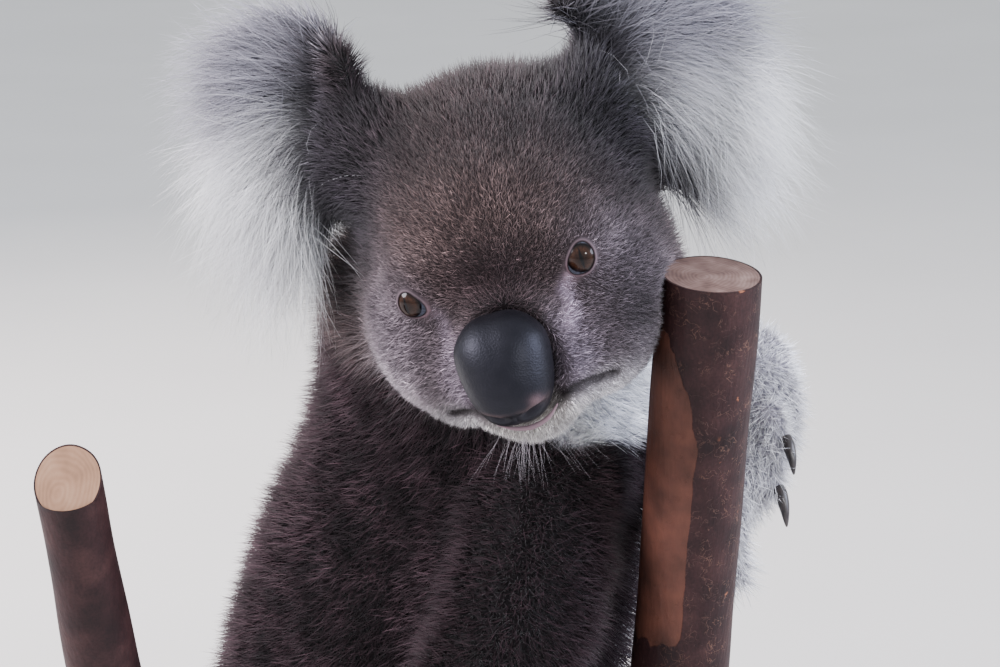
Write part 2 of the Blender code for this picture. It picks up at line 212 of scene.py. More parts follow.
# ------------------------------------------------------------------ perch: the cut branch
# A eucalypt trunk as thick as a wrist, with a thinner side limb that bends up beside it.  Its
# thin dark bark is scratched and scarred, and peeled smooth in one long tongue; both tops are
# sawn across and show the growth rings.
POLE_SIDES = 120
RING_STEP = 1.6 * MM
LIMB_SLANT = math.radians(33)                    # the side limb's sawn end faces -Y
LIMB_PATH = [(88, -12, 62), (34, 6, 70), (-25, 12, 80), (-78, -6, 98), (-110, -40, 146),
             (-121, -80, 235), (-127, -118, 340), (-132, -150, 434)]
LIMB_RADII = [20, 20, 20, 19, 18, 16, 14.2, 12.8]
# of a knot: metres along the branch, turn round it, size
KNOTS = ((0.16, 5.1, 0.016), (0.31, 0.6, 0.013), (0.40, 4.1, 0.010))
BARK_RIM = 0.95                                  # share of a sawn end's radius inside the bark


def end_rings(node):
    """The middle and radius of a straight round node at its low and its high end."""
    points = np.array([v.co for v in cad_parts[node].data.vertices])
    found = []
    for end in (points[:, 2].min(), points[:, 2].max()):
        ring = points[abs(points[:, 2] - end) < 20 * MM]
        middle = (ring.min(0) + ring.max(0)) / 2
        found.append((Vector(middle), float(np.linalg.norm(ring - middle, axis=1).mean())))
    return found


def smooth_step(low, high, value):
    t = np.clip((value - low) / (high - low), 0, 1)
    return t * t * (3 - 2 * t)


def smooth_path(points, radii, step):
    """Points and radii along a Catmull-Rom curve, about one step apart."""
    points = [Vector(p) for p in points]
    ends = [2 * points[0] - points[1]] + points + [2 * points[-1] - points[-2]]
    path = []
    for i in range(1, len(ends) - 2):
        a, b, c, d = ends[i - 1:i + 3]
        count = max(1, round((c - b).length / step))
        for k in range(count):
            t = k / count
            place = 0.5 * (2 * b + (c - a) * t + (2 * a - 5 * b + 4 * c - d) * t * t
                           + (3 * b - a - 3 * c + d) * t ** 3)
            path.append((place, radii[i - 1] * (1 - t) + radii[i] * t))
    path.append((points[-1], radii[-1]))
    return path


def bark_relief(place, along, turn):
    """How far the bark stands in or out at a point, in metres: knots and ripples."""
    slow = noise.noise(place * 16) * 1.3
    ripple = noise.noise(Vector((place.x * 90, place.y * 90, place.z * 22))) * 0.45
    knot = 0.0
    for middle, angle, size in KNOTS:
        off = math.hypot(along - middle, 0.022 * math.sin((turn - angle) / 2) * 2) / size
        knot += 1.5 * math.exp(-off * off) - 1.0 * math.exp(-off * off * 6)
    return (slow + ripple + knot) * MM * 0.8


def sawn_face(face, middle, layer):
    """A face of a sawn end: second material, UV in metres from the pith."""
    face.material_index = 1
    for loop in face.loops:
        loop[layer].uv = (loop.vert.co.x - middle.x, loop.vert.co.y - middle.y)


def loft(bm, rings, flip=False):
    """Faces between following rings of vertices, listed ring by ring."""
    faces = []
    for ring, following in zip(rings, rings[1:]):
        for k in range(len(ring)):
            j = (k + 1) % len(ring)
            quad = (ring[k], ring[j], following[j], following[k])
            faces.append(bm.faces.new(quad[::-1] if flip else quad))
    return faces


def branch(name, path, sides, slant=0.0):
    """A lofted branch with relief, closed by flat sawn ends; UV runs round and along the bark."""
    bm = bmesh.new()
    layer = bm.loops.layers.uv.new("grain")
    rings, runs, side, run = [], [], None, 0.0
    for i, (place, radius) in enumerate(path):
        before, after = path[max(i - 1, 0)][0], path[min(i + 1, len(path) - 1)][0]
        along = (after - before).normalized()
        if i:
            run += (place - path[i - 1][0]).length
        side = along.orthogonal().normalized() if side is None else side
        side = (side - along * side.dot(along)).normalized()
        other = along.cross(side)
        ring = []
        for k in range(sides):
            turn = 2 * math.pi * k / sides
            out = side * math.cos(turn) + other * math.sin(turn)
            reach = radius + bark_relief(place + out * radius, run, turn)
            spot = place + out * reach
            if i == len(path) - 1:
                spot += along * (out.y * reach * math.tan(slant))
            ring.append(bm.verts.new(spot))
        rings.append(ring)
        runs.append(run)
    for number, face in enumerate(loft(bm, rings)):
        i, k = divmod(number, sides)
        for loop, u, v in zip(face.loops, (k, k + 1, k + 1, k), (i, i, i + 1, i + 1)):
            loop[layer].uv = (u / sides, runs[v])
    for ring, (place, _), below in ((rings[0], path[0], True), (rings[-1], path[-1], False)):
        edge = ring
        for share in (BARK_RIM, 0.72, 0.46, 0.2, 0.02):
            inner = []
            for vert in ring:
                spot = place + (vert.co - place) * share
                saw_mark = noise.noise(spot * 120) * 0.5 * MM * (share < BARK_RIM)
                inner.append(bm.verts.new(spot + Vector((0, 0, saw_mark))))
            for face in loft(bm, [edge, inner], below):
                if share < BARK_RIM:
                    sawn_face(face, place, layer)
            edge = inner
        sawn_face(bm.faces.new(edge[::-1] if below else edge), place, layer)
    return object_from(name, bm)


(pole_foot, pole_foot_radius), (pole_head, pole_head_radius) = end_rings("perch_pole")
steps = round((pole_head - pole_foot).length / RING_STEP)
pole_path = [(pole_foot.lerp(pole_head, k / steps),
              pole_foot_radius + (pole_head_radius - pole_foot_radius) * k / steps)
             for k in range(steps + 1)]
limb_path = [(p * MM, r * MM) for p, r in smooth_path(LIMB_PATH, LIMB_RADII, 4)]
pole_shaft = branch("perch_trunk", pole_path, POLE_SIDES)
limb_shaft = branch("perch_side_limb", limb_path, 88, LIMB_SLANT)

# where the outer bark has peeled to a smooth tongue, and the side that claws have scarred, with a
# chip at the sawn edge; angles are degrees from +X, heights are metres
PATCH_LOW, PATCH_HIGH = 0.338, 0.476
PATCH_ANGLE, PATCH_SPREAD = 205, 58
SCARRED_ANGLE, SCARRED_SPREAD = 325, 38
CHIP_ANGLE, CHIP_SIZE = 302, 3.2 * MM
LIMB_PEELED, LIMB_SCARRED = 0.25, -1.0


def peeled_share(place, turn):
    """How far the bark is peeled at a place on the trunk, turned some degrees from +X."""
    jag = noise.noise(Vector((turn * 0.1, place.z * 90, 3))) * 4
    below_tip = max(0.0, PATCH_HIGH - place.z + jag * MM) / 0.045
    half = PATCH_SPREAD * min(1.0, below_tip) ** 0.55
    edge = half - abs(turn - PATCH_ANGLE) + jag
    above_foot = (place.z - PATCH_LOW) / MM + jag
    return float(smooth_step(-5, 5, edge)) * float(smooth_step(-4, 4, above_foot))


def scarred_share(place, turn):
    """How scarred the bark is: up to one by claws, and two in the chip."""
    across_chip = math.radians(turn - CHIP_ANGLE) * pole_head_radius * 1.2
    off = math.hypot(across_chip, place.z - pole_head.z) + noise.noise(place * 900) * 0.5 * MM
    clawed = math.exp(-((turn - SCARRED_ANGLE) / SCARRED_SPREAD) ** 2)
    return clawed + (2 - clawed) * float(smooth_step(1.2, 0.8, off / CHIP_SIZE))


for shaft in (pole_shaft, limb_shaft):
    mesh = shaft.data
    peeled_at = mesh.attributes.new("peeled", "FLOAT", "POINT")
    scarred_at = mesh.attributes.new("scarred", "FLOAT", "POINT")
    for vert in mesh.vertices:
        peeled, scarred = LIMB_PEELED, LIMB_SCARRED
        if shaft is pole_shaft:
            share = (vert.co.z - pole_foot.z) / (pole_head.z - pole_foot.z)
            axis = pole_foot.lerp(pole_head, share)
            turn = math.degrees(math.atan2(vert.co.y - axis.y, vert.co.x - axis.x)) % 360
            peeled, scarred = peeled_share(vert.co, turn), scarred_share(vert.co, turn)
        peeled_at.data[vert.index].value = peeled
        scarred_at.data[vert.index].value = scarred

# eucalypt bark: dark, thin and fibrous, scratched by claws; satin and red-brown where it has
# peeled, orange in the scars
bark, tree, shader = material("eucalypt_bark")
place = object_place(tree)
stretched = add(tree, "ShaderNodeMapping", Vector=place, Scale=(1.0, 1.0, 0.2)).outputs["Vector"]
fibre = noise_at(tree, stretched, 420, 5)
blotch = noise_at(tree, place, 60, 6)
grit = noise_at(tree, place, 900, 3)
scarred_at = attribute(tree, "scarred")
# the torn edge of the peeled tongue is ragged within a millimetre
torn = maths(tree, "ADD", attribute(tree, "peeled"), remap(tree, grit, 0, 1, -0.12, 0.12))
peeled_at = remap(tree, torn, 0.42, 0.58)
# curled scratches a quarter of a millimetre wide: lines where a slow noise crosses its middle
curls = noise_at(tree, place, 260, 3, Distortion=0.8)
off_line = maths(tree, "ABSOLUTE", maths(tree, "SUBTRACT", curls, 0.5))
on_line = remap(tree, off_line, 0.004, 0.024, 1, 0)
broken = remap(tree, noise_at(tree, place, 150, 5), 0.46, 0.62)
deep = remap(tree, scarred_at, -1, 1, 0, 0.85)
scratch = maths(tree, "MULTIPLY", deep, maths(tree, "MULTIPLY", on_line, broken))
# healed scars: flecks about 1.5 mm across, in some of the cells of an 8 mm pattern
warped = mix_of(tree, 0.004, place, noise_at(tree, place, 500, output="Color"), "ADD")
cells = add(tree, "ShaderNodeTexVoronoi", Vector=warped, Scale=125.0).outputs
spot = remap(tree, cells["Distance"], 0.06, 0.13, 1, 0)
lot = add(tree, "ShaderNodeSeparateColor", Color=cells["Color"]).outputs[0]
some = maths(tree, "GREATER_THAN", lot, 0.5)
clawed = remap(tree, scarred_at, 0.3, 0.7)
fleck = maths(tree, "MULTIPLY", clawed, maths(tree, "MULTIPLY", spot, some))
scar = maths(tree, "MAXIMUM", fleck, remap(tree, scarred_at, 1.4, 1.6))
smooth_bark = ramp(tree, blotch, (0.28, "#35201a"), (0.5, "#4e2f26"), (0.72, "#603a2e"))
dark_bark = ramp(tree, blotch, (0.3, "#1e0f10"), (0.5, "#2f1a1b"), (0.7, "#402827"))
gritty = ramp(tree, grit, (0.3, "#4a4644"), (0.7, "#b8b2ae"))
dark_bark = mix_of(tree, 0.5, dark_bark, gritty, "OVERLAY")
dark_bark = mix_of(tree, scratch, dark_bark, "#6d4f42")
colour = mix_of(tree, peeled_at, dark_bark, smooth_bark)
plug(shader, Base_Color=mix_of(tree, scar, colour, "#8f5a42"), Roughness=0.6,
     Specular_IOR_Level=0.2)
height = maths(tree, "MULTIPLY_ADD", peeled_at, -0.6, maths(tree, "ADD", fibre, scratch))
bump(tree, shader, height, 0.6, 0.6 * MM)

# sawn wood: growth rings 1.5 mm apart, greyed on the old trunk and fresher on the side limb
GROWTH_RING = 1.5 * MM
sawn, tree, shader = material("sawn_eucalypt_wood")
pith = add(tree, "ShaderNodeUVMap", {"uv_map": "grain"}).outputs["UV"]
bent = mix_of(tree, 0.006, pith, noise_at(tree, pith, 70, output="Color"), "ADD")
from_pith = add(tree, "ShaderNodeVectorMath", {"operation": "LENGTH"}, _0=bent).outputs["Value"]
rings = maths(tree, "SINE", maths(tree, "MULTIPLY", from_pith, 2 * math.pi / GROWTH_RING))
grime = remap(tree, noise_at(tree, pith, 110, 6), 0, 1, -0.55, 0.55)
grimy = maths(tree, "ADD", remap(tree, rings, -1, 1, 0.44, 0.56), grime)
weathered = ramp(tree, grimy, (0.2, "#4a342d"), (0.5, "#755b53"), (0.8, "#937a71"))
fresh = ramp(tree, grimy, (0.2, "#765640"), (0.5, "#926d53"), (0.8, "#a37f65"))
aside = add(tree, "ShaderNodeSeparateXYZ", Vector=object_place(tree)).outputs["X"]
on_limb = remap(tree, aside, -20 * MM, -40 * MM)
plug(shader, Base_Color=mix_of(tree, on_limb, weathered, fresh), Roughness=0.8)
bump(tree, shader, grimy, 0.4, 0.3 * MM)

for shaft, node in ((pole_shaft, "perch_pole"), (limb_shaft, "perch_limb")):
    finish_piece(shaft, bark, "bark", node, sharp=50)
    shaft.data.materials.append(sawn)

# ------------------------------------------------------------------ skin
# One seamless hide under all of the coat, as far inside the outline as the hair is deep: a few
# millimetres on the face, hands and feet, and a centimetre on the body.  It carries the same
# markings as the coat, and is bare only round the eyes.
CAD_GAP = 0.3 * MM
SKIN_GRAIN = 2.8 * MM
FLESH = ["head", "neck", "trunk", "ear_left", "ear_right"] + [
    f"{part}_{side}" for side in ("left", "right")
    for part in ("upper_arm", "forearm", "hand", "thigh", "shin", "foot")]
KINDS = [node.rsplit("_", 1)[0] if node.endswith(("left", "right")) else node for node in FLESH]
# depth of the coat in millimetres, colour of the hair at the root and at the tip
HAIR = {"head": (6.0, "#271c1d", "#665655"), "neck": (9, "#150d10", "#3a2b2f"),
        "trunk": (11, "#120a0e", "#392a2f"), "ear": (8, "#1c1921", "#c0beca"),
        "upper_arm": (9, "#120a0e", "#35262b"), "forearm": (7, "#8e8a95", "#e6e3ec"),
        "hand": (3.5, "#8b8791", "#dedbe4"), "thigh": (10, "#190f14", "#42343a"),
        "shin": (6, "#3c3439", "#7c747b"), "foot": (3.5, "#4a4544", "#8f898b")}
FACE_DEPTH = 3.2
# the hair lies from the first node towards the second
LIE = {"neck": ("head", "trunk"), "trunk": ("neck", "trunk")}
for side in ("left", "right"):
    for first, *chain in (("neck", "upper_arm", "forearm", "hand"),
                          ("trunk", "thigh", "shin", "foot")):
        names = [first] + [f"{part}_{side}" for part in chain]
        for before, here, after in zip(names, names[1:], names[2:] + names[-1:]):
            LIE[here] = (before, after)


def middle_of(node):
    low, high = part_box(node)
    return (low + high) / 2


# the head's own axes, from its eyes and nose: x out of the face, y to its left, z up
EYES_TO_NOSE = Vector((25.5, 0, -28.5))
across = (middle_of("eye_left") - middle_of("eye_right")).normalized()
between_eyes = (middle_of("eye_left") + middle_of("eye_right")) / 2
down_face = middle_of("nose") - between_eyes
down_face -= across * down_face.dot(across)
slope = math.atan2(EYES_TO_NOSE.z, EYES_TO_NOSE.x)
out_of_face = Matrix.Rotation(slope, 3, across) @ down_face.normalized()
up_face = out_of_face.cross(across)
HEAD_AXES = np.array([out_of_face, across, up_face])
EYES_OUT, EYES_UP = 39.5 * MM, 6 * MM
HEAD_HEART = between_eyes - out_of_face * EYES_OUT - up_face * EYES_UP


def in_head(points):
    """Points in the head's own axes, in millimetres."""
    return (np.asarray(points) - np.array(HEAD_HEART)) @ HEAD_AXES.T / MM


def from_head(points):
    """Back from the head's own axes to the frame, in metres."""
    return np.asarray(points) * MM @ HEAD_AXES + np.array(HEAD_HEART)


def unit(vectors):
    return vectors / np.maximum(np.linalg.norm(vectors, axis=1, keepdims=True), 1e-9)


def spread(values, edges, times):
    """Average each vertex's value with its neighbours', several times over."""
    count = len(values)
    links = np.bincount(edges.ravel(), minlength=count)[:, None]
    flat = values.reshape(count, -1)
    for _ in range(times):
        total = np.stack([np.bincount(edges[:, 0], flat[edges[:, 1], c], count)
                          + np.bincount(edges[:, 1], flat[edges[:, 0], c], count)
                          for c in range(flat.shape[1])], axis=1)
        flat = 0.4 * flat + 0.6 * total / np.maximum(links, 1)
    return flat.reshape(values.shape)


def read(items, name, width, kind=np.float32):
    """A property of a mesh's vertices, edges or the like, as rows of numbers."""
    values = np.empty(len(items) * width, kind)
    items.foreach_get(name, values)
    return values.reshape(-1, width)


def arrays_of(mesh):
    """Vertex places, vertex normals and edges of a mesh."""
    return read(mesh.vertices, "co", 3).astype(float), \
        read(mesh.vertex_normals, "vector", 3).astype(float), \
        read(mesh.edges, "vertices", 2, np.int32)


def put_places(mesh, places):
    mesh.vertices.foreach_set("co", places.astype(np.float32).ravel())
    mesh.update()


def voxel_join(obj, smoothing):
    remesh = obj.modifiers.new("join", "REMESH")
    remesh.mode = "VOXEL"
    remesh.voxel_size = SKIN_GRAIN
    soften = obj.modifiers.new("soften", "SMOOTH")
    soften.factor = 0.5
    soften.iterations = smoothing
    return apply_modifiers(obj)


def add_solid(bm, node, within, grown=0.0):
    """Add a node's solid to a mesh, its doubled vertices joined, grown by some metres."""
    shell = bmesh.new()
    shell.from_mesh(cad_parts[node].data)
    bmesh.ops.remove_doubles(shell, verts=shell.verts, dist=within)
    shell.normal_update()
    for vert, normal in [(v, v.normal.copy()) for v in shell.verts]:
        vert.co += normal * grown
    welded = bpy.data.meshes.new("welded")
    shell.to_mesh(welded)
    shell.free()
    bm.from_mesh(welded)
    bpy.data.meshes.remove(welded)


# which node each part of the outline belongs to
outline_points, outline_faces, outline_owner = [], [], []
for number, node in enumerate(FLESH):
    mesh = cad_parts[node].data
    start = len(outline_points)
    outline_points += [v.co.copy() for v in mesh.vertices]
    outline_faces += [[start + i for i in p.vertices] for p in mesh.polygons]
    outline_owner += [number] * len(mesh.polygons)
outline = BVHTree.FromPolygons(outline_points, outline_faces)
outline_owner = np.array(outline_owner)


def owners(places):
    """The number in FLESH of the node whose outline is nearest to each place."""
    return outline_owner[[outline.find_nearest(Vector(p))[2] for p in places]]


bm = bmesh.new()
for node in FLESH + ["eye_left", "eye_right"]:
    add_solid(bm, node, 1e-5, CAD_GAP)
skin = voxel_join(object_from("skin", bm), 6)

places, normals, edges = arrays_of(skin.data)
owner = owners(places)
depth = np.array([HAIR[kind][0] for kind in KINDS])[owner]
face_front = smooth_step(0, 42, in_head(places)[:, 0]) * (owner == 0)
depth = depth * (1 - face_front) + FACE_DEPTH * face_front
depth = spread(depth, edges, 12)
normals = unit(spread(normals, edges, 3))
put_places(skin.data, places - normals * depth[:, None] * MM)
skin = voxel_join(skin, 4)

# loose hide spans the folds where the limbs leave the body
SPAN_TIMES, SPAN_MOST = 300, 12 * MM
places, normals, edges = arrays_of(skin.data)
owner = owners(places)
limb_numbers = [number for number, node in enumerate(FLESH)
                if node.startswith(("trunk", "neck", "upper_arm", "thigh"))]
loose = spread(np.isin(owner, limb_numbers) * 1.0, edges, 30)
sunk = ((spread(places, edges, SPAN_TIMES) - places) * normals).sum(1)
lift = spread(np.clip(sunk, 0, SPAN_MOST) * loose ** 2, edges, 6)
put_places(skin.data, places + normals * lift[:, None])

# the face, modelled on the hide: the eyes' axes and lids, brows, folds, nose bed and mouth line
EYE_RADIUS = (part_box("eye_left")[1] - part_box("eye_left")[0]).z / 2 / MM - 0.2
EYE_PLACES = {"left": Vector((39.5, 33.5, 6)), "right": Vector((39.5, -33.5, 6))}
# reach of the lids' edge, every so many degrees from the outer corner up; the inner corner is low
EDGE_TURNS = [0, 40, 65, 90, 120, 150, 180, 205, 232, 255, 285, 320, 360]
EDGE_REACH = [5.0, 5.7, 6.2, 5.5, 4.1, 3.9, 4.6, 5.8, 7.0, 6.0, 5.5, 4.9, 5.0]
EDGE_SIZE = {"left": 1.04, "right": 0.92}
GAZE = {"left": Vector((1, 0.10, 0.06)), "right": Vector((1, -0.12, -0.02))}
CORNER_TURN = math.radians(228)                  # the inner corner, nose side and low
MOUTH_LINE = [(71, 4, -44), (67, 14, -39), (63, 19.5, -37.5), (57, 23, -39), (51, 27, -41),
              (46, 33, -42)]
NOSE_MIDDLE = np.array([65.0, -1.5, -22.5])
NOSE_SIZE = np.array([17.0, 19.0, 22.0])


def eye_axes(side):
    """Out of the eye, towards the outer corner, and up, in the head's axes."""
    out = GAZE[side].normalized()
    outer = Vector((0, 1 if side == "left" else -1, 0))
    outer = (outer - out * out.dot(outer)).normalized()
    up = out.cross(outer) if side == "left" else outer.cross(out)
    return out, outer, up


def opening_at(side, turn):
    """How far the lids' edge is from the middle, at angles from the outer corner up."""
    degrees = np.degrees(turn) % 360
    near = [np.interp((degrees + shift) % 360, EDGE_TURNS, EDGE_REACH) for shift in (-9, 0, 9)]
    return EDGE_SIZE[side] * sum(near) / 3


def bare_at(turn):
    """Width of the bare skin round the opening, widest at the inner corner."""
    return 0.55 + 3.0 * np.maximum(np.cos(turn - CORNER_TURN - 0.1), 0) ** 4


def round_eye(points, side):
    """Points as seen along the gaze: their angle, distance from its axis and height along it."""
    out, outer, up = (np.array(axis) for axis in eye_axes(side))
    off = points - np.array(EYE_PLACES[side])
    return np.arctan2(off @ up, off @ outer), np.hypot(off @ outer, off @ up), off @ out


def past_lids(points, side):
    """How far points of the face lie outside the bare lids, in millimetres."""
    turn, aside, ahead = round_eye(points, side)
    return np.where(ahead > 0, aside - opening_at(side, turn) - bare_at(turn), 99.0)


def curve_distance(points, curve, depth=1.0):
    """How far each point is from a line of points, with the distance along x scaled by depth."""
    best = np.full(len(points), 1e9)
    scale = np.array([depth, 1, 1])
    points = points * scale
    for a, b in zip(curve, curve[1:]):
        a, b = np.array(a, float) * scale, np.array(b, float) * scale
        along = np.clip(((points - a) @ (b - a)) / ((b - a) @ (b - a)), 0, 1)
        best = np.minimum(best, np.linalg.norm(points - a - along[:, None] * (b - a), axis=1))
    return best


def both_sides(points):
    """The head's points with its right side folded over to the left."""
    return np.stack([points[:, 0], np.abs(points[:, 1]), points[:, 2]], axis=1)


def hump(points, middle, size):
    """One at a middle, falling off smoothly over a size along each axis."""
    return np.exp(-(((points - middle) / size) ** 2).sum(1))


# the hide rises round each eye to meet its lids
places, normals, edges = arrays_of(skin.data)
local = in_head(places)
for side in EYE_PLACES:
    turn, aside, ahead = round_eye(local, side)
    opening = opening_at(side, turn)
    reach = aside - opening
    level = np.sqrt(EYE_RADIUS ** 2 - opening ** 2) - 1.0 - 0.75 * np.maximum(reach, 0)
    lack = np.maximum(level - ahead, 0) * smooth_step(15, 4, reach) * (ahead > -14)
    places += (lack[:, None] * np.array(eye_axes(side)[0]) * MM) @ HEAD_AXES
put_places(skin.data, places)

# height, middle and size, on both sides of the face, in millimetres
FACE_RELIEF = [
    (1.8, (52, 33, 19), (8, 12, 5)),              # brow
    (-1.0, (50, 30, 14), (8, 9, 2.2)),            # fold over the lid
    (2.0, (62, 22, -34), (10, 7, 8)),             # pads beside the nose
    (-1.6, (52, 38, -26), (9, 4, 12)),            # dip between pad and cheek
    (-1.5, (57, 22, -6), (8, 4, 10)),             # dip beside the bridge
]
BELLY_ON_POLE, BELLY_SIZE = (0.072, 0.0, 0.305), (0.03, 0.05, 0.045)
places, normals, edges = arrays_of(skin.data)
local = in_head(places)
folded = both_sides(local)
rise = -2.6 * np.exp(-(curve_distance(folded, MOUTH_LINE, 0.3) / 2.0) ** 2) \
    * smooth_step(30, 50, local[:, 0])
for height, middle, size in FACE_RELIEF:
    rise += height * hump(folded, middle, size)
rise += 6 * hump(places, BELLY_ON_POLE, BELLY_SIZE)
put_places(skin.data, places + normals * rise[:, None] * MM)

# ---- markings, shared by the hide and the coat: hair colour at the root and at the tip
# middle, size (both sides of the face, millimetres), strength, root colour, tip colour
FACE_MARKS = [
    ((44, 0, 40), (22, 30, 20), 1.0, "#281c1d", "#64524e"),          # forehead
    ((55, 0, 8), (14, 15, 12), 1.8, "#1c1215", "#45363a"),           # bridge above the nose
    ((42, 50, -8), (22, 16, 20), 1.3, "#3a3137", "#847982"),         # cheek
    ((62, 23, -26), (12, 8, 14), 2.4, "#4f454e", "#988b98"),         # beside the nose
    ((34, 58, -34), (24, 14, 14), 1.8, "#5d535a", "#b3a8af"),        # rim of the jaw
    ((50, 36, -28), (9, 6, 12), 1.2, "#241b1f", "#54484d"),          # shade between them
    ((68, 4, -52), (24, 20, 8), 6.0, "#8a837f", "#d8d3cd"),          # chin
    ((52, 30, -52), (14, 14, 9), 4.0, "#958f92", "#e2dee0"),         # under the mouth corner
    ((30, 0, -66), (36, 34, 12), 2.5, "#7d767a", "#d3d0d2"),         # throat
    ((-6, 0, 70), (44, 38, 24), 4.5, "#130c0e", "#34292b"),          # crown
    ((-18, 50, 46), (26, 22, 30), 7.0, "#0b0a0e", "#211f27"),        # foot of the ear
]
TEAR_STREAK = [(47, 26.5, 0), (47, 23.6, -4.5), (47, 24.2, -9), (48, 23.0, -17)]


def mix_in(colours, share, code):
    return colours + (np.array(srgb(code)[:3]) - colours) * share[:, None]


places, normals, edges = arrays_of(skin.data)
local = in_head(places)
folded = both_sides(local)
region = np.zeros((len(places), len(FLESH)))
region[np.arange(len(places)), owners(places)] = 1
region = spread(region, edges, 14)
number_of = {node: number for number, node in enumerate(FLESH)}
of_head = region[:, number_of["head"]]
of_body = region[:, number_of["neck"]] + region[:, number_of["trunk"]]
root_colour, tip_colour = (region @ np.array([srgb(HAIR[kind][end])[:3] for kind in KINDS])
                           for end in (1, 2))
marks = np.ones(len(places))
for centre, size, strength, dark, light in FACE_MARKS:
    share = strength * hump(folded, centre, size) * 3 * of_head
    root_colour += share[:, None] * np.array(srgb(dark)[:3])
    tip_colour += share[:, None] * np.array(srgb(light)[:3])
    marks += share
root_colour /= marks[:, None]
tip_colour /= marks[:, None]


def mark(share, dark, light):
    """Mix a root colour and a tip colour into the markings by a share."""
    root_colour[:] = mix_in(root_colour, share, dark)
    tip_colour[:] = mix_in(tip_colour, share, light)


# the far side of the face is in the shade of its cheek; a dark edge in front of the nose's top
far_cheek = hump(local, (40, 50, -20), (26, 15, 24)) * of_head
near_nose = np.linalg.norm((local - NOSE_MIDDLE) / NOSE_SIZE, axis=1)
nose_edge = np.exp(-((near_nose - 1.05) / 0.21) ** 2) * smooth_step(-26, -6, local[:, 2]) * of_head
mark(far_cheek * 0.9, "#140e11", "#322a2e")
mark(nose_edge * 0.9, "#0f090c", "#2a2125")

# white bib from throat to belly; the far forearm and hand pale, whitened further as painted light
# where they lie in shade
bib_edge = 0.016 - 0.090 * smooth_step(0.400, 0.425, places[:, 2])
beyond_edge = smooth_step(-0.011, 0.011, places[:, 1] - bib_edge)
bib = smooth_step(-0.1, 0.35, normals[:, 0]) * smooth_step(0.25, 0.33, places[:, 2]) \
    * of_body * smooth_step(0.02, 0.05, places[:, 0]) \
    * beyond_edge * smooth_step(0.110, 0.085, places[:, 1])
belly = smooth_step(0.2, 0.7, normals[:, 0]) * smooth_step(0.33, 0.25, places[:, 2]) * of_body \
    * beyond_edge
# painted light: the far arm's pale fur is raised towards white to make up for the shade it lies in
sleeve = region[:, number_of["forearm_left"]] + region[:, number_of["hand_left"]]
mark(bib, "#dcdde4", "#ffffff")
mark(belly * 0.8, "#5d5655", "#a59c98")
mark(sleeve * 0.85, "#c6c3cd", "#ffffff")

# ears: pale inside and along the fringe, dark on the back and the upper edge, with painted shade
# deep inside
EAR_ROOT = {"ear_right": (-24, -53, 51), "ear_left": (-29, 48, 35)}
# middle and size of the painted shade deep in each ear, measured from its root
DARK_HEART = {"ear_right": ((4, 0, 4), 22), "ear_left": ((4, 6, -14), 26)}
PALE_HEIGHT = {"ear_right": 34, "ear_left": 26}
# how far out from the root the pale locks start, 25 mm below it and 20 mm above it
PALE_FROM = {"ear_right": (22, 8), "ear_left": (24, 2)}
of_ear = {node: region[:, number_of[node]] for node in EAR_ROOT}
facing = normals @ HEAD_AXES[0]
well_out = spread(of_ear["ear_left"] + of_ear["ear_right"], edges, 160)
for node, root in EAR_ROOT.items():
    from_root = local - root
    high = PALE_HEIGHT[node]
    pale = of_ear[node] * smooth_step(-0.35, 0.25, facing) \
        * smooth_step(high, high - 20, from_root[:, 2]) * smooth_step(0.35, 0.7, well_out)
    outwards = from_root[:, 1] * np.sign(root[1])
    pale_from = np.interp(from_root[:, 2], (-25, 20), PALE_FROM[node])
    mark(pale * smooth_step(-6, 8, outwards - pale_from), "#eeeef3", "#ffffff")
    # painted shade: root and tip colours darkened deep in the ear's hollow
    dark_heart, dark_size = DARK_HEART[node]
    from_heart = np.linalg.norm(from_root - dark_heart, axis=1)
    shaded = of_ear[node] * np.exp(-(from_heart / dark_size) ** 4)
    root_colour[:] = mix_in(root_colour, shaded * 0.9, "#140f14")
    tip_colour[:] = mix_in(tip_colour, shaded * 0.85, "#39303a")

# painted shade: the coat's tips are darkened towards the root colour down in the folds between
# limbs and body
hollow = ((spread(places, edges, 40) - places) * normals).sum(1) / MM
fold_shade = smooth_step(0.8, 3.5, hollow) * (1 - of_head)
tip_colour = tip_colour + (root_colour - tip_colour) * (fold_shade * (1 - bib) * 0.7)[:, None]

# woolly mottling, and bare or thin-haired skin: lids, the eyes' corners, the streak below
mottle = np.array([noise.fractal(Vector(place) * 75, 1.0, 2.0, 3) for place in places])
tip_colour *= (1 + 0.95 * np.clip(mottle, -0.6, 0.9) * (of_body + 0.35 * of_head + 0.3))[:, None]
outside_lids = np.minimum(past_lids(local, "left"), past_lids(local, "right"))
bare = smooth_step(1.6, 0.0, outside_lids) * of_head
streak = np.exp(-(curve_distance(folded, TEAR_STREAK, 0.1) / 2.0) ** 2) * of_head
streak *= np.where(local[:, 1] > 0, 1.0, 0.35) * smooth_step(25, 35, local[:, 0])
by_mouth = curve_distance(folded, MOUTH_LINE, 0.3)
beside_nose = of_head * smooth_step(30, 45, local[:, 0]) * smooth_step(6, 16, folded[:, 1])
# the dark line of the mouth, widened with painted shadow under the overhanging lip and cheek
mouth = np.exp(-(by_mouth / 2.6) ** 4) * beside_nose
mark(mouth, "#10090b", "#20151a")
mark(streak * 0.9, "#a08c9c", "#dccbe0")
around_eye = np.exp(-(outside_lids / 7) ** 2) * of_head
tip_colour = mix_in(tip_colour, around_eye * 0.25, "#776c72")
hide_colour = mix_in(root_colour * 0.8, bare, "#54464b")
hide_colour = mix_in(hide_colour, streak * bare, "#9b8390")

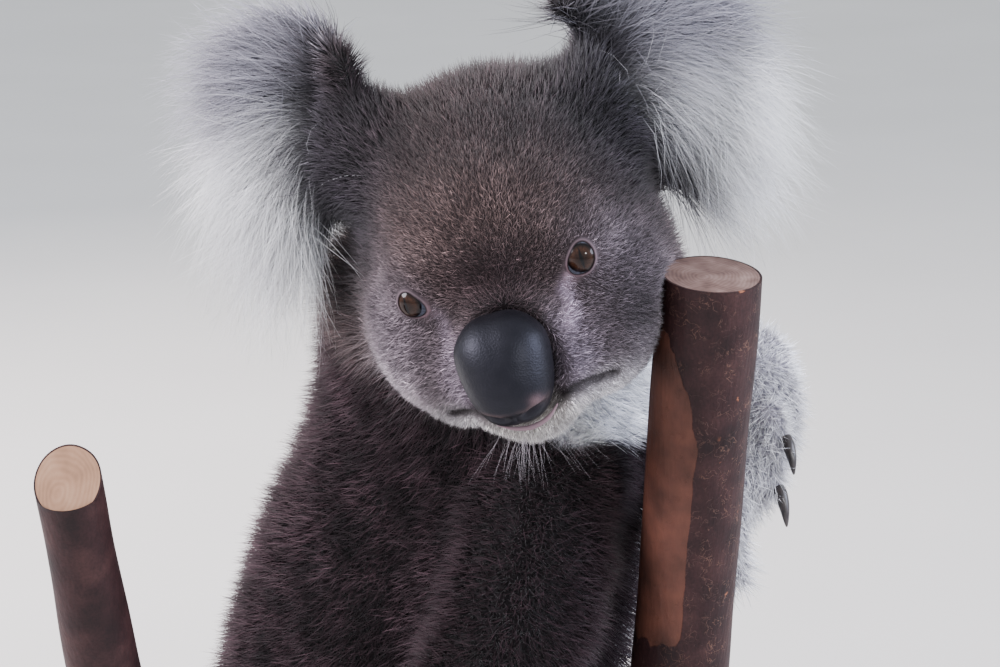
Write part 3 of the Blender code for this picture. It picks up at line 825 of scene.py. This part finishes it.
# hide: matt, finely wrinkled skin, seen only where the hair parts
hide, tree, shader = material("hide")
plug(shader, Base_Color=attribute(tree, "marking", "Color"), Roughness=0.7,
     Specular_IOR_Level=0.2)
bump(tree, shader, noise_at(tree, object_place(tree), 1200, 4), 0.6, 0.35 * MM)


def put_colours(mesh, colours):
    layer = mesh.color_attributes.new("marking", "FLOAT_COLOR", "POINT")
    rgba = np.ones((len(colours), 4), np.float32)
    rgba[:, :3] = colours
    layer.data.foreach_set("color", rgba.ravel())


# an unwrap of the hide's own shape, which places the patch of every tuft
bpy.context.view_layer.objects.active = skin
skin.select_set(True)
bpy.ops.object.mode_set(mode="EDIT")
bpy.ops.mesh.select_all(action="SELECT")
bpy.ops.uv.smart_project(angle_limit=math.radians(66), island_margin=0.002)
bpy.ops.object.mode_set(mode="OBJECT")
skin.data.calc_loop_triangles()
triangles = skin.data.loop_triangles
corners = read(triangles, "vertices", 3, np.int32)
unwrap = read(skin.data.uv_layers.active.data, "uv", 2)[read(triangles, "loops", 3, np.int32)]
skin.data.uv_layers.remove(skin.data.uv_layers.active)
put_colours(skin.data, hide_colour)
finish_piece(skin, hide, "coat", *FLESH)

# ------------------------------------------------------------------ coat
# Dense woolly hair in fine solid locks: over a centimetre long on the body, four millimetres on
# the face, forty in the fringe of the ears.  Every lock grows from the hide, leans the way the
# hair lies, and is dark at the root and paler at the tip.
centre_of = {node: np.array(middle_of(node)) for node in FLESH}
lie = np.zeros_like(places)
for number, node in enumerate(FLESH):
    if node in LIE:
        before, after = LIE[node]
        way = centre_of[after] - centre_of[before]
        if node == "trunk":
            way = np.array([-0.25, 0, -1.0])
        lie += region[:, number:number + 1] * way / np.linalg.norm(way)
NOSE_TIP = np.array([74, 0, -10])
on_face = local - NOSE_TIP
for heart in EYE_PLACES.values():
    off = local - np.array(heart)
    near = np.exp(-(np.linalg.norm(off, axis=1) / 13) ** 2)
    on_face = on_face + off * (near * 5)[:, None]
on_face[:, 2] -= 26 * smooth_step(-38, -48, local[:, 2])         # the chin's hair hangs
lie += of_head[:, None] * (unit(on_face) @ HEAD_AXES)
for node, root in EAR_ROOT.items():
    side = np.sign(root[1])
    from_root = local - root
    outward = unit(from_root)
    outward[:, 1] += 0.7 * side * smooth_step(6, 30, np.linalg.norm(from_root, axis=1))
    droop = np.array([0, 0.25 * side, -1.15]) * smooth_step(46, -6, from_root[:, 2])[:, None]
    lie += of_ear[node][:, None] * unit((unit(outward) + droop) @ HEAD_AXES)
lie -= normals * (lie * normals).sum(1)[:, None]
lie = unit(spread(unit(lie), edges, 6))

corner_places = places[corners]
sides = corner_places[:, 1:] - corner_places[:, :1]
triangle_area = np.linalg.norm(np.cross(sides[:, 0], sides[:, 1]), axis=1) / 2
TUFT_PATCH = 0.003
ROOT_DEPTH = 0.5 * MM                     # of a lock's foot under the hide
DRAFT = 1.0        # wider spacing while trying things
CELL_KEYS = np.array([73856093, 19349663, 83492791])


def scatter(where, spacing, seed):
    """Roots spread evenly where it holds: their number, a carrier of values, random numbers."""
    rng = np.random.default_rng(seed)
    spacing = spacing * MM * DRAFT ** 0.5
    weight = triangle_area * (where * 1.0)[corners].mean(1)
    count = int(weight.sum() / spacing ** 2 * 2.4)
    chosen = rng.choice(len(corners), count, p=weight / weight.sum())
    a, b = rng.random(count), rng.random(count)
    flip = a + b > 1
    a[flip], b[flip] = 1 - a[flip], 1 - b[flip]
    shares = np.stack([1 - a - b, a, b], axis=1)
    spots = (corner_places[chosen] * shares[:, :, None]).sum(1)
    _, first = np.unique(np.floor(spots / spacing).astype(np.int64) @ CELL_KEYS, return_index=True)

    def at_roots(values):
        """Values of the hide's vertices or triangles' corners, or one for all, at the roots."""
        if np.ndim(values) < 2:
            values = np.broadcast_to(values, len(places))[:, None]
        if np.ndim(values) < 3:
            values = values[corners]
        return (values[chosen[first]] * shares[first][:, :, None]).sum(1)

    return len(first), at_roots, rng


def tuft_faces(segments):
    """Triangles of one three-sided lock: rings of three points, then the tip."""
    faces = [(0, 1, 2)]
    for ring in range(segments - 1):
        base = ring * 3
        for k in range(3):
            j = (k + 1) % 3
            faces += [(base + k, base + 3 + j, base + j), (base + k, base + 3 + k, base + 3 + j)]
    base, tip = (segments - 1) * 3, segments * 3
    return np.array(faces + [(base + k, tip, base + (k + 1) % 3) for k in range(3)])


def coat_piece(name, where, spacing, length, width, lift, segments, seed, clump=0.0, wave=0.0,
               fall=0.0, wild=0.25, contrast=0.3):
    """One piece of coat: locks of a length and width in mm, lifted off the hide by two angles."""
    count, at_roots, rng = scatter(where, spacing, seed)
    roots = at_roots(places)
    outward = unit(at_roots(normals))
    along = at_roots(lie)
    along += rng.normal(0, wild, along.shape)
    along = unit(along - outward * (along * outward).sum(1)[:, None])
    across_lock = np.cross(outward, along)
    size = at_roots(length) * MM * rng.uniform(0.55, 1.25, (count, 1))
    lifts = np.hstack([at_roots(angle) for angle in lift])
    rise = np.radians(lifts + rng.normal(0, 9, (count, 2)))
    starts = along * np.cos(rise[:, :1]) + outward * np.sin(rise[:, :1])
    ends = along * np.cos(rise[:, 1:]) + outward * np.sin(rise[:, 1:])
    ends = ends + across_lock * rng.normal(0, wave, (count, 1)) + np.array([0, 0, -fall])
    pull = np.zeros((count, 3))
    if clump:
        cells = np.floor(roots / (clump * MM)).astype(np.int64) @ CELL_KEYS
        _, group = np.unique(cells, return_inverse=True)
        members = np.bincount(group)[:, None]
        hearts = np.stack([np.bincount(group, roots[:, c]) for c in range(3)], axis=1) / members
        pull = (hearts[group] - roots) * 0.7
    breadth = at_roots(width) * MM * rng.uniform(0.75, 1.25, (count, 1))
    rings = []
    for k in range(segments):
        t = k / segments
        bend = size * (starts * t + (ends - starts) * t * t / 2)
        heart = roots - outward * ROOT_DEPTH + bend + pull * t
        top = np.cross(unit(starts + (ends - starts) * t), across_lock)
        thick = breadth * (1 - t) ** (1.0 if segments > 2 else 0.6)
        rings += [heart - across_lock * thick / 2, heart + top * thick * 0.6,
                  heart + across_lock * thick / 2]
    rings.append(roots + size * (starts + ends) / 2 + pull)
    points = np.stack(rings, axis=1)
    per_lock = points.shape[1]
    firsts = (np.arange(count) * per_lock)[:, None, None]
    faces = (tuft_faces(segments)[None] + firsts).reshape(-1, 3)
    mesh = bpy.data.meshes.new(name)
    mesh.vertices.add(count * per_lock)
    mesh.vertices.foreach_set("co", points.astype(np.float32).ravel())
    mesh.loops.add(faces.size)
    mesh.loops.foreach_set("vertex_index", faces.astype(np.int32).ravel())
    mesh.polygons.add(len(faces))
    mesh.polygons.foreach_set("loop_start", np.arange(0, faces.size, 3, dtype=np.int32))
    mesh.update(calc_edges=True)
    height = np.array([k // 3 / segments for k in range(per_lock)])
    sideways = np.array([(k % 3 - 1) / 2 for k in range(per_lock - 1)] + [0.0])
    patch = at_roots(unwrap)[:, None, :] + np.stack([sideways, height], axis=1)[None] * TUFT_PATCH
    uv = mesh.uv_layers.new(name="OFBake")
    uv.data.foreach_set("uv", patch.reshape(-1, 2)[faces.ravel()].astype(np.float32).ravel())
    gain = np.exp(rng.normal(0, contrast, (count, 1, 1)))
    dark = at_roots(root_colour)[:, None, :]
    light = at_roots(tip_colour)[:, None, :] * gain
    blend = (height ** 0.8)[None, :, None]
    put_colours(mesh, (dark * (1 - blend) + light * blend).reshape(-1, 3))
    finish_piece(object_of(name, mesh), wool, "coat")


# koala wool: fine crimped hair with little gloss and a soft sheen at its edges; each lock's
# colour comes from its own marking
wool, tree, shader = material("koala_wool")
plug(shader, Base_Color=attribute(tree, "marking", "Color"), Roughness=0.75,
     Specular_IOR_Level=0.14, Sheen_Weight=0.08, Sheen_Roughness=0.45)

# short hair on the face, a little longer towards the back of the head, with long locks under the
# right ear; lengths in millimetres
FACE_HAIR, LONG_LOCKS = 3.5, 20
haired = (outside_lids > -0.4) & ((near_nose > 1.03) | (of_head < 0.5))
front = smooth_step(6, 16, local[:, 0])
chin = hump(local, (62, 4, -58), (22, 26, 14))
backwards = smooth_step(34, -22, local[:, 0])
face_length = FACE_HAIR + 6.0 * backwards + 0.3 * chin \
    - 1.4 * np.exp(-(outside_lids / 6) ** 2) - 2.6 * np.exp(-(by_mouth / 5.0) ** 4) * beside_nose
head_lift = (34 + 30 * backwards, 21 + 23 * backwards)
of_face = (of_head > 0.5) & (front > 0.5) & haired
for side, half, seed in (("left", local[:, 1] > 0, 11), ("right", local[:, 1] <= 0, 21)):
    coat_piece(f"coat_face_{side}", of_face & half, 0.56, face_length, 0.32 - 0.14 * chin,
               head_lift, 1, seed, wild=0.45, contrast=0.62)
scalp_length = face_length + LONG_LOCKS * hump(local, (-18, -64, 2), (24, 18, 26))
coat_piece("coat_scalp", (of_head > 0.5) & (front <= 0.5) & haired, 0.86, scalp_length,
           0.44 - 0.18 * chin, head_lift, 1, 2, wild=0.47, contrast=0.58)

# the body's wool stands up in uneven tufts, and is longest where the belly meets the pole
BODY_HAIR, TUFTING, BELLY_HAIR = 11.5, 6.0, 15.0
WOOLLY = {"clump": 3.0, "contrast": 0.42}
tufty = np.array([noise.fractal(Vector(place) * 120, 1.0, 2.0, 3) for place in places])
belly_wool = hump(places, (0.075, 0.0, 0.315), BELLY_SIZE) * smooth_step(0.2, 0.7, normals[:, 0])
plush = BODY_HAIR + TUFTING * np.clip(tufty, -0.8, 0.8) + BELLY_HAIR * belly_wool
left_half = places[:, 1] > 24 * MM
# of the bands of the body: lowest and highest place in metres, millimetres between locks
BANDS = {"mantle": (0.385, 9.0, 1.12), "back": (0.27, 0.385, 1.15), "rump": (-1.0, 0.27, 1.7)}
for number, (band, (low, high, spacing)) in enumerate(BANDS.items()):
    within = (of_body > 0.5) & (places[:, 2] > low) & (places[:, 2] <= high)
    for side, half in (("left", left_half), ("right", ~left_half)):
        coat_piece(f"coat_{band}_{side}", within & half, spacing, plush, 0.45 * spacing, (74, 54),
                   1, 30 + 2 * number + (side == "left"), wild=0.95, **WOOLLY)
for side, shift in (("left", 0), ("right", 10)):
    part = {kind: region[:, number_of[node]] for kind, node in zip(KINDS, FLESH)
            if node.endswith(side)}
    limb_length = plush - 4.0 * (part["forearm"] + part["shin"])
    coat_piece(f"coat_arm_{side}", part["upper_arm"] + part["forearm"] > 0.5, 1.15, limb_length,
               0.52, (74, 54), 1, 5 + shift, wild=0.95, **WOOLLY)
    coat_piece(f"coat_leg_{side}", part["thigh"] + part["shin"] > 0.5, 1.45, limb_length,
               0.65, (70, 50), 1, 6 + shift, wild=0.9, **WOOLLY)
    coat_piece(f"coat_paws_{side}", part["hand"] + part["foot"] > 0.5, 1.15,
               8.0 + 5.0 * part["hand"] * (side == "left"), 0.5, (46, 16), 1, 7 + shift, wild=0.4)
    inside = smooth_step(-0.3, 0.2, facing)
    coat_piece(f"coat_ear_back_{side}", (part["ear"] > 0.4) & (inside < 0.9), 1.0, 14.0, 0.4,
               (50, 30), 2, 8 + shift, clump=3.0, wild=0.4, contrast=0.55)
    coat_piece(f"coat_ear_fringe_{side}", (part["ear"] > 0.4) & (inside > 0.3), 0.94, 38.0, 0.3,
               (40, 4), 3, 9 + shift, clump=6.5, wave=0.32, fall=0.5, wild=0.34, contrast=0.15)

# ------------------------------------------------------------------ eyes
# Glossy brown eyes with an upright slit pupil: a ball with the clear bulge of the cornea, and
# round it the bare lids, a thin dark wet edge and a soft pinkish-grey rim that meets the hair.
CORNEA_REACH = 0.62                        # radians from the middle of the gaze
IRIS_RADIUS = 6.0
IRIS_OFF = {"left": 0.4, "right": 1.7}     # the irises stand a little to their outer side
SLIT_WIDTH, SLIT_HEIGHT = 0.6, 4.4         # half of the pupil each way
hide_tree = BVHTree.FromPolygons([Vector(place) for place in places],
                                 [tuple(polygon.vertices) for polygon in skin.data.polygons])


def to_frame(spot):
    """A point of the head's own axes, in the frame."""
    return Vector(from_head(np.array(spot)[None])[0])


def hide_height(heart, out, lateral, far_out=40):
    """How far out the hide lies over a point beside the eye's middle, in millimetres."""
    way = Vector(np.array(-out) @ HEAD_AXES)
    hit = hide_tree.ray_cast(to_frame(heart + lateral + out * far_out), way)
    return far_out - (hit[3] / MM if hit[0] else far_out)


def tinted_mesh():
    """A new mesh in the making, and its layer of vertex colours."""
    bm = bmesh.new()
    return bm, bm.verts.layers.float_color.new("marking")


def tinted_ring(bm, tint, spots, colour):
    """A ring of vertices at points of the head's own axes, all of one colour."""
    ring = [bm.verts.new(to_frame(spot)) for spot in spots]
    for vert in ring:
        vert[tint] = colour
    return ring


def closed_tube(bm, rings):
    loft(bm, rings)
    bm.faces.new(rings[0])
    bm.faces.new(rings[-1])


# wet brown eye: slit pupil, warm brown iris with fine rays, dark limbal ring, grey-blue white
wet_eye, tree, shader = material("wet_brown_eye")
plane = add(tree, "ShaderNodeUVMap", {"uv_map": "gaze"}).outputs["UV"]
split = add(tree, "ShaderNodeSeparateXYZ", Vector=plane).outputs
off = add(tree, "ShaderNodeVectorMath", {"operation": "LENGTH"}, _0=plane).outputs["Value"]
spokes = maths(tree, "MULTIPLY", maths(tree, "ARCTAN2", split["Y"], split["X"]), 7.0)
polar = add(tree, "ShaderNodeCombineXYZ", X=spokes, Y=off).outputs[0]
rays = add(tree, "ShaderNodeTexNoise", {"noise_dimensions": "2D"}, Vector=polar, Scale=1.0,
           Detail=4.0).outputs["Fac"]
iris = ramp(tree, maths(tree, "DIVIDE", off, IRIS_RADIUS), (0.0, "#120a08"), (0.35, "#25160f"),
            (0.62, "#372218"), (0.80, "#1c110d"), (0.88, "#070405"), (0.93, "#0f0c11"),
            (1.0, "#4c505c"))
lit = mix_of(tree, 0.7, iris, ramp(tree, rays, (0.3, "#8a7a70"), (0.7, "#ffffff")), "MULTIPLY")
tall = maths(tree, "DIVIDE", split["Y"], SLIT_HEIGHT)
edge = maths(tree, "MULTIPLY_ADD", maths(tree, "MULTIPLY", tall, tall), -SLIT_WIDTH, SLIT_WIDTH)
slit = maths(tree, "SUBTRACT", edge, maths(tree, "ABSOLUTE", split["X"]))
pupil = remap(tree, slit, -0.15, 0.15)
plug(shader, Base_Color=mix_of(tree, pupil, lit, "#060405"), Roughness=0.3, IOR=1.38,
     Specular_IOR_Level=0.05, Coat_Weight=0.4, Coat_Roughness=0.02)

# millimetres outside the lids' edge, height over ball or hide, colour
LID_PROFILE = [(-0.3, -0.6, "#120a0d"), (0.0, 0.1, "#120a0d"), (0.25, 0.45, "#22161a"),
               (0.5, 0.55, "#3c2f34"), (0.85, 0.5, "#6a5a60"), (1.2, 0.25, "#53474c"),
               (1.7, -0.1, "#382f33"), (2.4, -0.6, "#3a3035"), (3.4, -1.4, "#3a3035"),
               (4.6, -2.6, "#3a3035")]
LID_PINK = "#8f747c"                       # of the bare skin towards the inner corner
LID_ROUNDS = 80
for side, heart in EYE_PLACES.items():
    out, outer, up = eye_axes(side)
    bm = bmesh.new()
    gaze = bm.loops.layers.uv.new("gaze")
    bmesh.ops.create_uvsphere(bm, u_segments=64, v_segments=48, radius=1)
    shares = {}
    for vert in bm.verts:
        a, b, c = vert.co.z, vert.co.x, vert.co.y           # the pole of the ball looks out
        polar = math.acos(max(-1, min(1, a)))
        lid_edge = math.asin(min(0.9, float(opening_at(side, math.atan2(c, b))) / EYE_RADIUS))
        bulge = 1 + 0.05 * max(0.0, 1 - (polar / CORNEA_REACH) ** 2) \
            - 0.4 * float(smooth_step(lid_edge + 0.05, lid_edge + 0.45, polar))
        shares[vert] = (b * EYE_RADIUS - IRIS_OFF[side], c * EYE_RADIUS)
        vert.co = to_frame(heart + (out * a + outer * b + up * c) * EYE_RADIUS * bulge)
    for face in bm.faces:
        for loop in face.loops:
            loop[gaze].uv = shares[loop.vert]
    bm.normal_update()
    bmesh.ops.recalc_face_normals(bm, faces=bm.faces)
    ball = object_from(f"eyeball_{side}", bm)
    finish_piece(ball, wet_eye, "eye", f"eye_{side}")

    # lids: from the wet inner edge over the rolled rim and down under the hair
    bm, tint = tinted_mesh()
    rings = []
    for reach, height, code in LID_PROFILE:
        ring = []
        on_rim, on_hide = (float(smooth_step(*ends, reach)) for ends in ((0.2, 0.8), (0.5, 2.6)))
        fold_over = float(smooth_step(0.3, 1.5, reach)) * float(smooth_step(3.4, 2, reach))
        for k in range(LID_ROUNDS):
            turn = 2 * math.pi * k / LID_ROUNDS
            above = max(0.0, math.sin(turn))
            lateral = (outer * math.cos(turn) + up * math.sin(turn)) \
                * (float(opening_at(side, turn)) + reach)
            on_ball = math.sqrt(max(EYE_RADIUS ** 2 - lateral.length ** 2, 9.0))
            over = on_ball * (1 - on_hide) + hide_height(heart, out, lateral) * on_hide
            crease = 0.5 * math.exp(-((reach - 1.9) / 0.5) ** 2) * above
            hood = 0.6 * max(0.0, math.sin(turn + 0.4)) * fold_over
            spot = heart + lateral + out * (over + height - crease + hood)
            pink = 0.7 * max(0.0, math.cos(turn - CORNER_TURN)) ** 3 * on_rim
            shade = np.array(srgb(code)) * (1 - pink) + np.array(srgb(LID_PINK)) * pink
            ring += tinted_ring(bm, tint, [spot], shade * (1 - 0.25 * above))
        rings.append(ring)
    loft(bm, rings)
    bmesh.ops.recalc_face_normals(bm, faces=bm.faces)
    if sum(face.normal.dot(Vector(np.array(out) @ HEAD_AXES)) for face in bm.faces) < 0:
        bmesh.ops.reverse_faces(bm, faces=bm.faces)
    lids = object_from(f"eyelids_{side}", bm)
    thicken = lids.modifiers.new("flesh", "SOLIDIFY")
    thicken.thickness = 0.4 * MM
    thicken.offset = -1
    subdivide(lids, 1)
    finish_piece(apply_modifiers(lids), hide, "coat")

# ------------------------------------------------------------------ nose
# A large bare pad of black leathery skin, finely pebbled and moist, with a bluish sheen on both
# flanks.  It is widest above the middle, and the comma-shaped nostrils open at its lower rim.
NOSE_LEAN = math.radians(-14)
FULLNESS = 2.75                            # of the front outline: 2 is an ellipse, more is squarer
DOME = 2.1                                 # the same for the profile
NOSE_SHIFT = np.array([0.0, -1.2, 0.0])    # the pad sits a little to the right


def near_to(value, middle, width):
    return math.exp(-((value - middle) / width) ** 2)


def nose_spot(way):
    """A point of the pad in millimetres from its middle, along a direction, and its colour."""
    x, y, z = way
    front = (abs(y) ** FULLNESS + abs(z) ** FULLNESS) ** (1 / FULLNESS)
    full = (abs(x) ** DOME + front ** DOME) ** (-1 / DOME)
    spot = np.array(way) * full * NOSE_SIZE
    y, z = spot[1] / NOSE_SIZE[1], spot[2] / NOSE_SIZE[2]
    spot[1] *= 1.0 - 0.17 * smooth_step(0.5, -1.0, z) - 0.10 * smooth_step(0.45, 1.0, z)
    side, ahead = abs(y), float(smooth_step(-0.1, 0.3, x))
    level = -0.80 + 0.30 * max(0.0, side - 0.30)           # the slit rises towards the flank
    slit = near_to(z, level - 0.05, 0.055) * near_to(side, 0.45, 0.27) * ahead
    lip = near_to(z, level + 0.055, 0.035) * near_to(side, 0.45, 0.33) * ahead
    wing = near_to(y, 0.62, 0.16) * near_to(z, -0.62, 0.10) * ahead
    parting = near_to(y, 0.02, 0.05) * float(smooth_step(-0.72, -0.9, z)) * ahead
    factor = 1 + 0.02 * lip - 0.14 * slit - 0.02 * parting + 0.02 * wing
    factor -= 0.015 * near_to(y, 0, 0.3) * float(smooth_step(-0.3, 0.5, z))
    shade = np.array(srgb("#0f0e12"))
    for share, code in ((lip * 0.7, "#544341"), (wing * 1.1, "#594648"), (slit, "#100809")):
        shade = shade + (np.array(srgb(code)) - shade) * min(share, 1.0)
    return spot * factor, shade


bm, tint = tinted_mesh()
bmesh.ops.create_icosphere(bm, subdivisions=6, radius=1)
lean = np.array([[math.cos(NOSE_LEAN), 0, math.sin(NOSE_LEAN)], [0, 1, 0],
                 [-math.sin(NOSE_LEAN), 0, math.cos(NOSE_LEAN)]])
for vert in bm.verts:
    spot, shade = nose_spot(vert.co.normalized())
    pebble = noise.noise(Vector(spot) * 1.6) * 0.05
    vert.co = to_frame(NOSE_MIDDLE + NOSE_SHIFT + lean @ spot + lean @ unit(spot[None])[0] * pebble)
    vert[tint] = shade
bmesh.ops.recalc_face_normals(bm, faces=bm.faces)
pad = object_from("nose_pad", bm)

# bare nose skin: dark slate, pebbled about every millimetre, half gloss with a moist film
nose_skin, tree, shader = material("bare_nose_skin")
place = object_place(tree)
pebbles = add(tree, "ShaderNodeTexVoronoi", {"feature": "SMOOTH_F1"}, Vector=place,
              Scale=1300.0, Smoothness=0.6).outputs["Distance"]
flecks = ramp(tree, noise_at(tree, place, 260, 4), (0.35, "#9a9aa2"), (0.65, "#ffffff"))
colour = mix_of(tree, 0.6, attribute(tree, "marking", "Color"), flecks, "MULTIPLY")
plug(shader, Base_Color=colour, Roughness=0.47, Specular_IOR_Level=0.27,
     Specular_Tint=srgb("#dee0f4"))
bump(tree, shader, pebbles, 0.35, 0.25 * MM)
finish_piece(pad, nose_skin, "nose_leather", "nose")

# ------------------------------------------------------------------ lips and whiskers
# The bare edge of the upper lip under the nose: a soft pinkish roll between pad and chin, and a
# few fine whiskers on the lip and the chin.
LIP_PATH = [(70.5, -12, -42), (71.6, -6, -44.6), (72, 1, -45.6), (71.8, 8, -43.6),
            (70.6, 13, -39.5)]
LIP_RADII = [0.3, 0.8, 1.1, 0.9, 0.3]
LIP_SIDES = 10
path = smooth_path(LIP_PATH, LIP_RADII, 1)
bm, tint = tinted_mesh()
rings = []
for i, (place, radius) in enumerate(path):
    along = (path[min(i + 1, len(path) - 1)][0] - path[max(i - 1, 0)][0]).normalized()
    above = along.cross(Vector((1, 0, 0))).normalized()
    ahead = along.cross(above)
    turns = [2 * math.pi * k / LIP_SIDES for k in range(LIP_SIDES)]
    spots = [place + (above * math.cos(turn) + ahead * math.sin(turn)) * radius for turn in turns]
    rings.append(tinted_ring(bm, tint, spots, srgb("#7a646b")))
closed_tube(bm, rings)
bmesh.ops.recalc_face_normals(bm, faces=bm.faces)
finish_piece(object_from("upper_lip", bm), hide, "nose_leather")

WHISKERS = 100
THIRDS = (0.0, 2.09, 4.19)                 # turns round a three-sided hair
whisker_rng = np.random.default_rng(77)
bm, tint = tinted_mesh()
for number in range(WHISKERS):
    spread_out = whisker_rng.uniform(-1, 1)
    aside = 17 * spread_out
    low = number % 3 > 0
    if low:
        root = np.array([66 - 6 * spread_out ** 2, aside, -54])
        way = np.array([0.55, 0.07 * aside, -1.0])
    else:
        root = np.array([66, math.copysign(18 + 5 * abs(spread_out), spread_out), -36])
        way = np.array([0.5, 0.9 * np.sign(aside), -0.5])
    root = root + whisker_rng.normal(0, 1.6, 3)
    way = way + whisker_rng.normal(0, 0.28, 3)
    way /= np.linalg.norm(way)
    reach = whisker_rng.uniform(8, 22)
    colour = srgb("#b9b1b5" if low else "#2c2427")
    rings = []
    for share in (0.0, 0.4, 0.75, 1.0):
        heart = root - way * 3 + way * reach * share + np.array([0.8, 0, -1.4]) * share ** 2
        thick = 0.03 * (1 - share) + 0.008
        spots = [heart + np.array([0.2, math.cos(turn), math.sin(turn)]) * thick
                 for turn in THIRDS]
        rings.append(tinted_ring(bm, tint, spots, colour))
    closed_tube(bm, rings)
bmesh.ops.recalc_face_normals(bm, faces=bm.faces)
finish_piece(object_from("whiskers", bm), wool, "coat")

# ------------------------------------------------------------------ claws
# Long hooked claws of dark horn, satin smooth, thick at the root and drawn to a point that bites
# the bark.  They are the model's own claws with rounder flanks.
CLAWS = sorted(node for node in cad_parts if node.startswith("claw_"))
bm = bmesh.new()
for node in CLAWS:
    add_solid(bm, node, 1e-6)
claws = object_from("claws", bm)
subdivide(claws, 2)
horn, tree, shader = material("claw_horn")
streaks = noise_at(tree, object_place(tree), 700, 3)
plug(shader, Base_Color=ramp(tree, streaks, (0.3, "#1d1a1b"), (0.7, "#3b3433")), Roughness=0.35)
bump(tree, shader, streaks, 0.2, 0.15 * MM)
finish_piece(apply_modifiers(claws), horn, "claw_horn", *CLAWS)

# ------------------------------------------------------------------ floor, light and camera
# A pale studio floor, a broad soft key from the upper left, a fill from the right, a rim, and a
# small lamp in front that gives the eyes their spark.
bm = bmesh.new()
bmesh.ops.create_grid(bm, x_segments=1, y_segments=1, size=9)
floor = object_from("studio_floor", bm)
pale_floor, tree, shader = material("pale_studio_floor")
cloudy = noise_at(tree, object_place(tree), 3)
plug(shader, Base_Color=ramp(tree, cloudy, (0.3, "#cdccca"), (0.7, "#d1d0ce")), Roughness=0.9)
floor.data.materials.append(pale_floor)

HEAD_POINT = Vector((0.03, -0.06, 0.48))
CAMERA_PLACE, CAMERA_TILT = (0.029, -0.986, 0.715), math.radians(75)


def soft_light(name, place, size, power, colour):
    """A round soft lamp aimed at the head."""
    light = bpy.data.lights.new(name, "AREA")
    light.shape = "DISK"
    light.size = size
    light.energy = power
    light.color = srgb(colour)[:3]
    lamp = object_of(name, light)
    lamp.location = place
    lamp.rotation_euler = (HEAD_POINT - Vector(place)).to_track_quat("-Z", "Y").to_euler()


soft_light("key", (-2.0, -0.55, 1.55), 1.2, 112, "#fbf6ff")
soft_light("fill", (2.0, -0.4, 1.25), 1.2, 62, "#e2e8ff")
soft_light("catch", (0.75, -1.2, 0.98), 0.22, 8, "#ffffff")
soft_light("rim", (-0.8, 1.4, 1.4), 0.9, 50, "#fff0ea")
world = bpy.data.worlds.new("studio")
bpy.context.scene.world = world
world.use_nodes = True
plug(world.node_tree.nodes["Background"], Color=srgb("#dfe3ea"), Strength=1.5)

lens = bpy.data.cameras.new("camera")
lens.lens = 85
lens.sensor_width = 36
camera = object_of("camera", lens)
camera.location = CAMERA_PLACE
camera.rotation_euler = (CAMERA_TILT, 0, 0)
bpy.context.scene.camera = camera
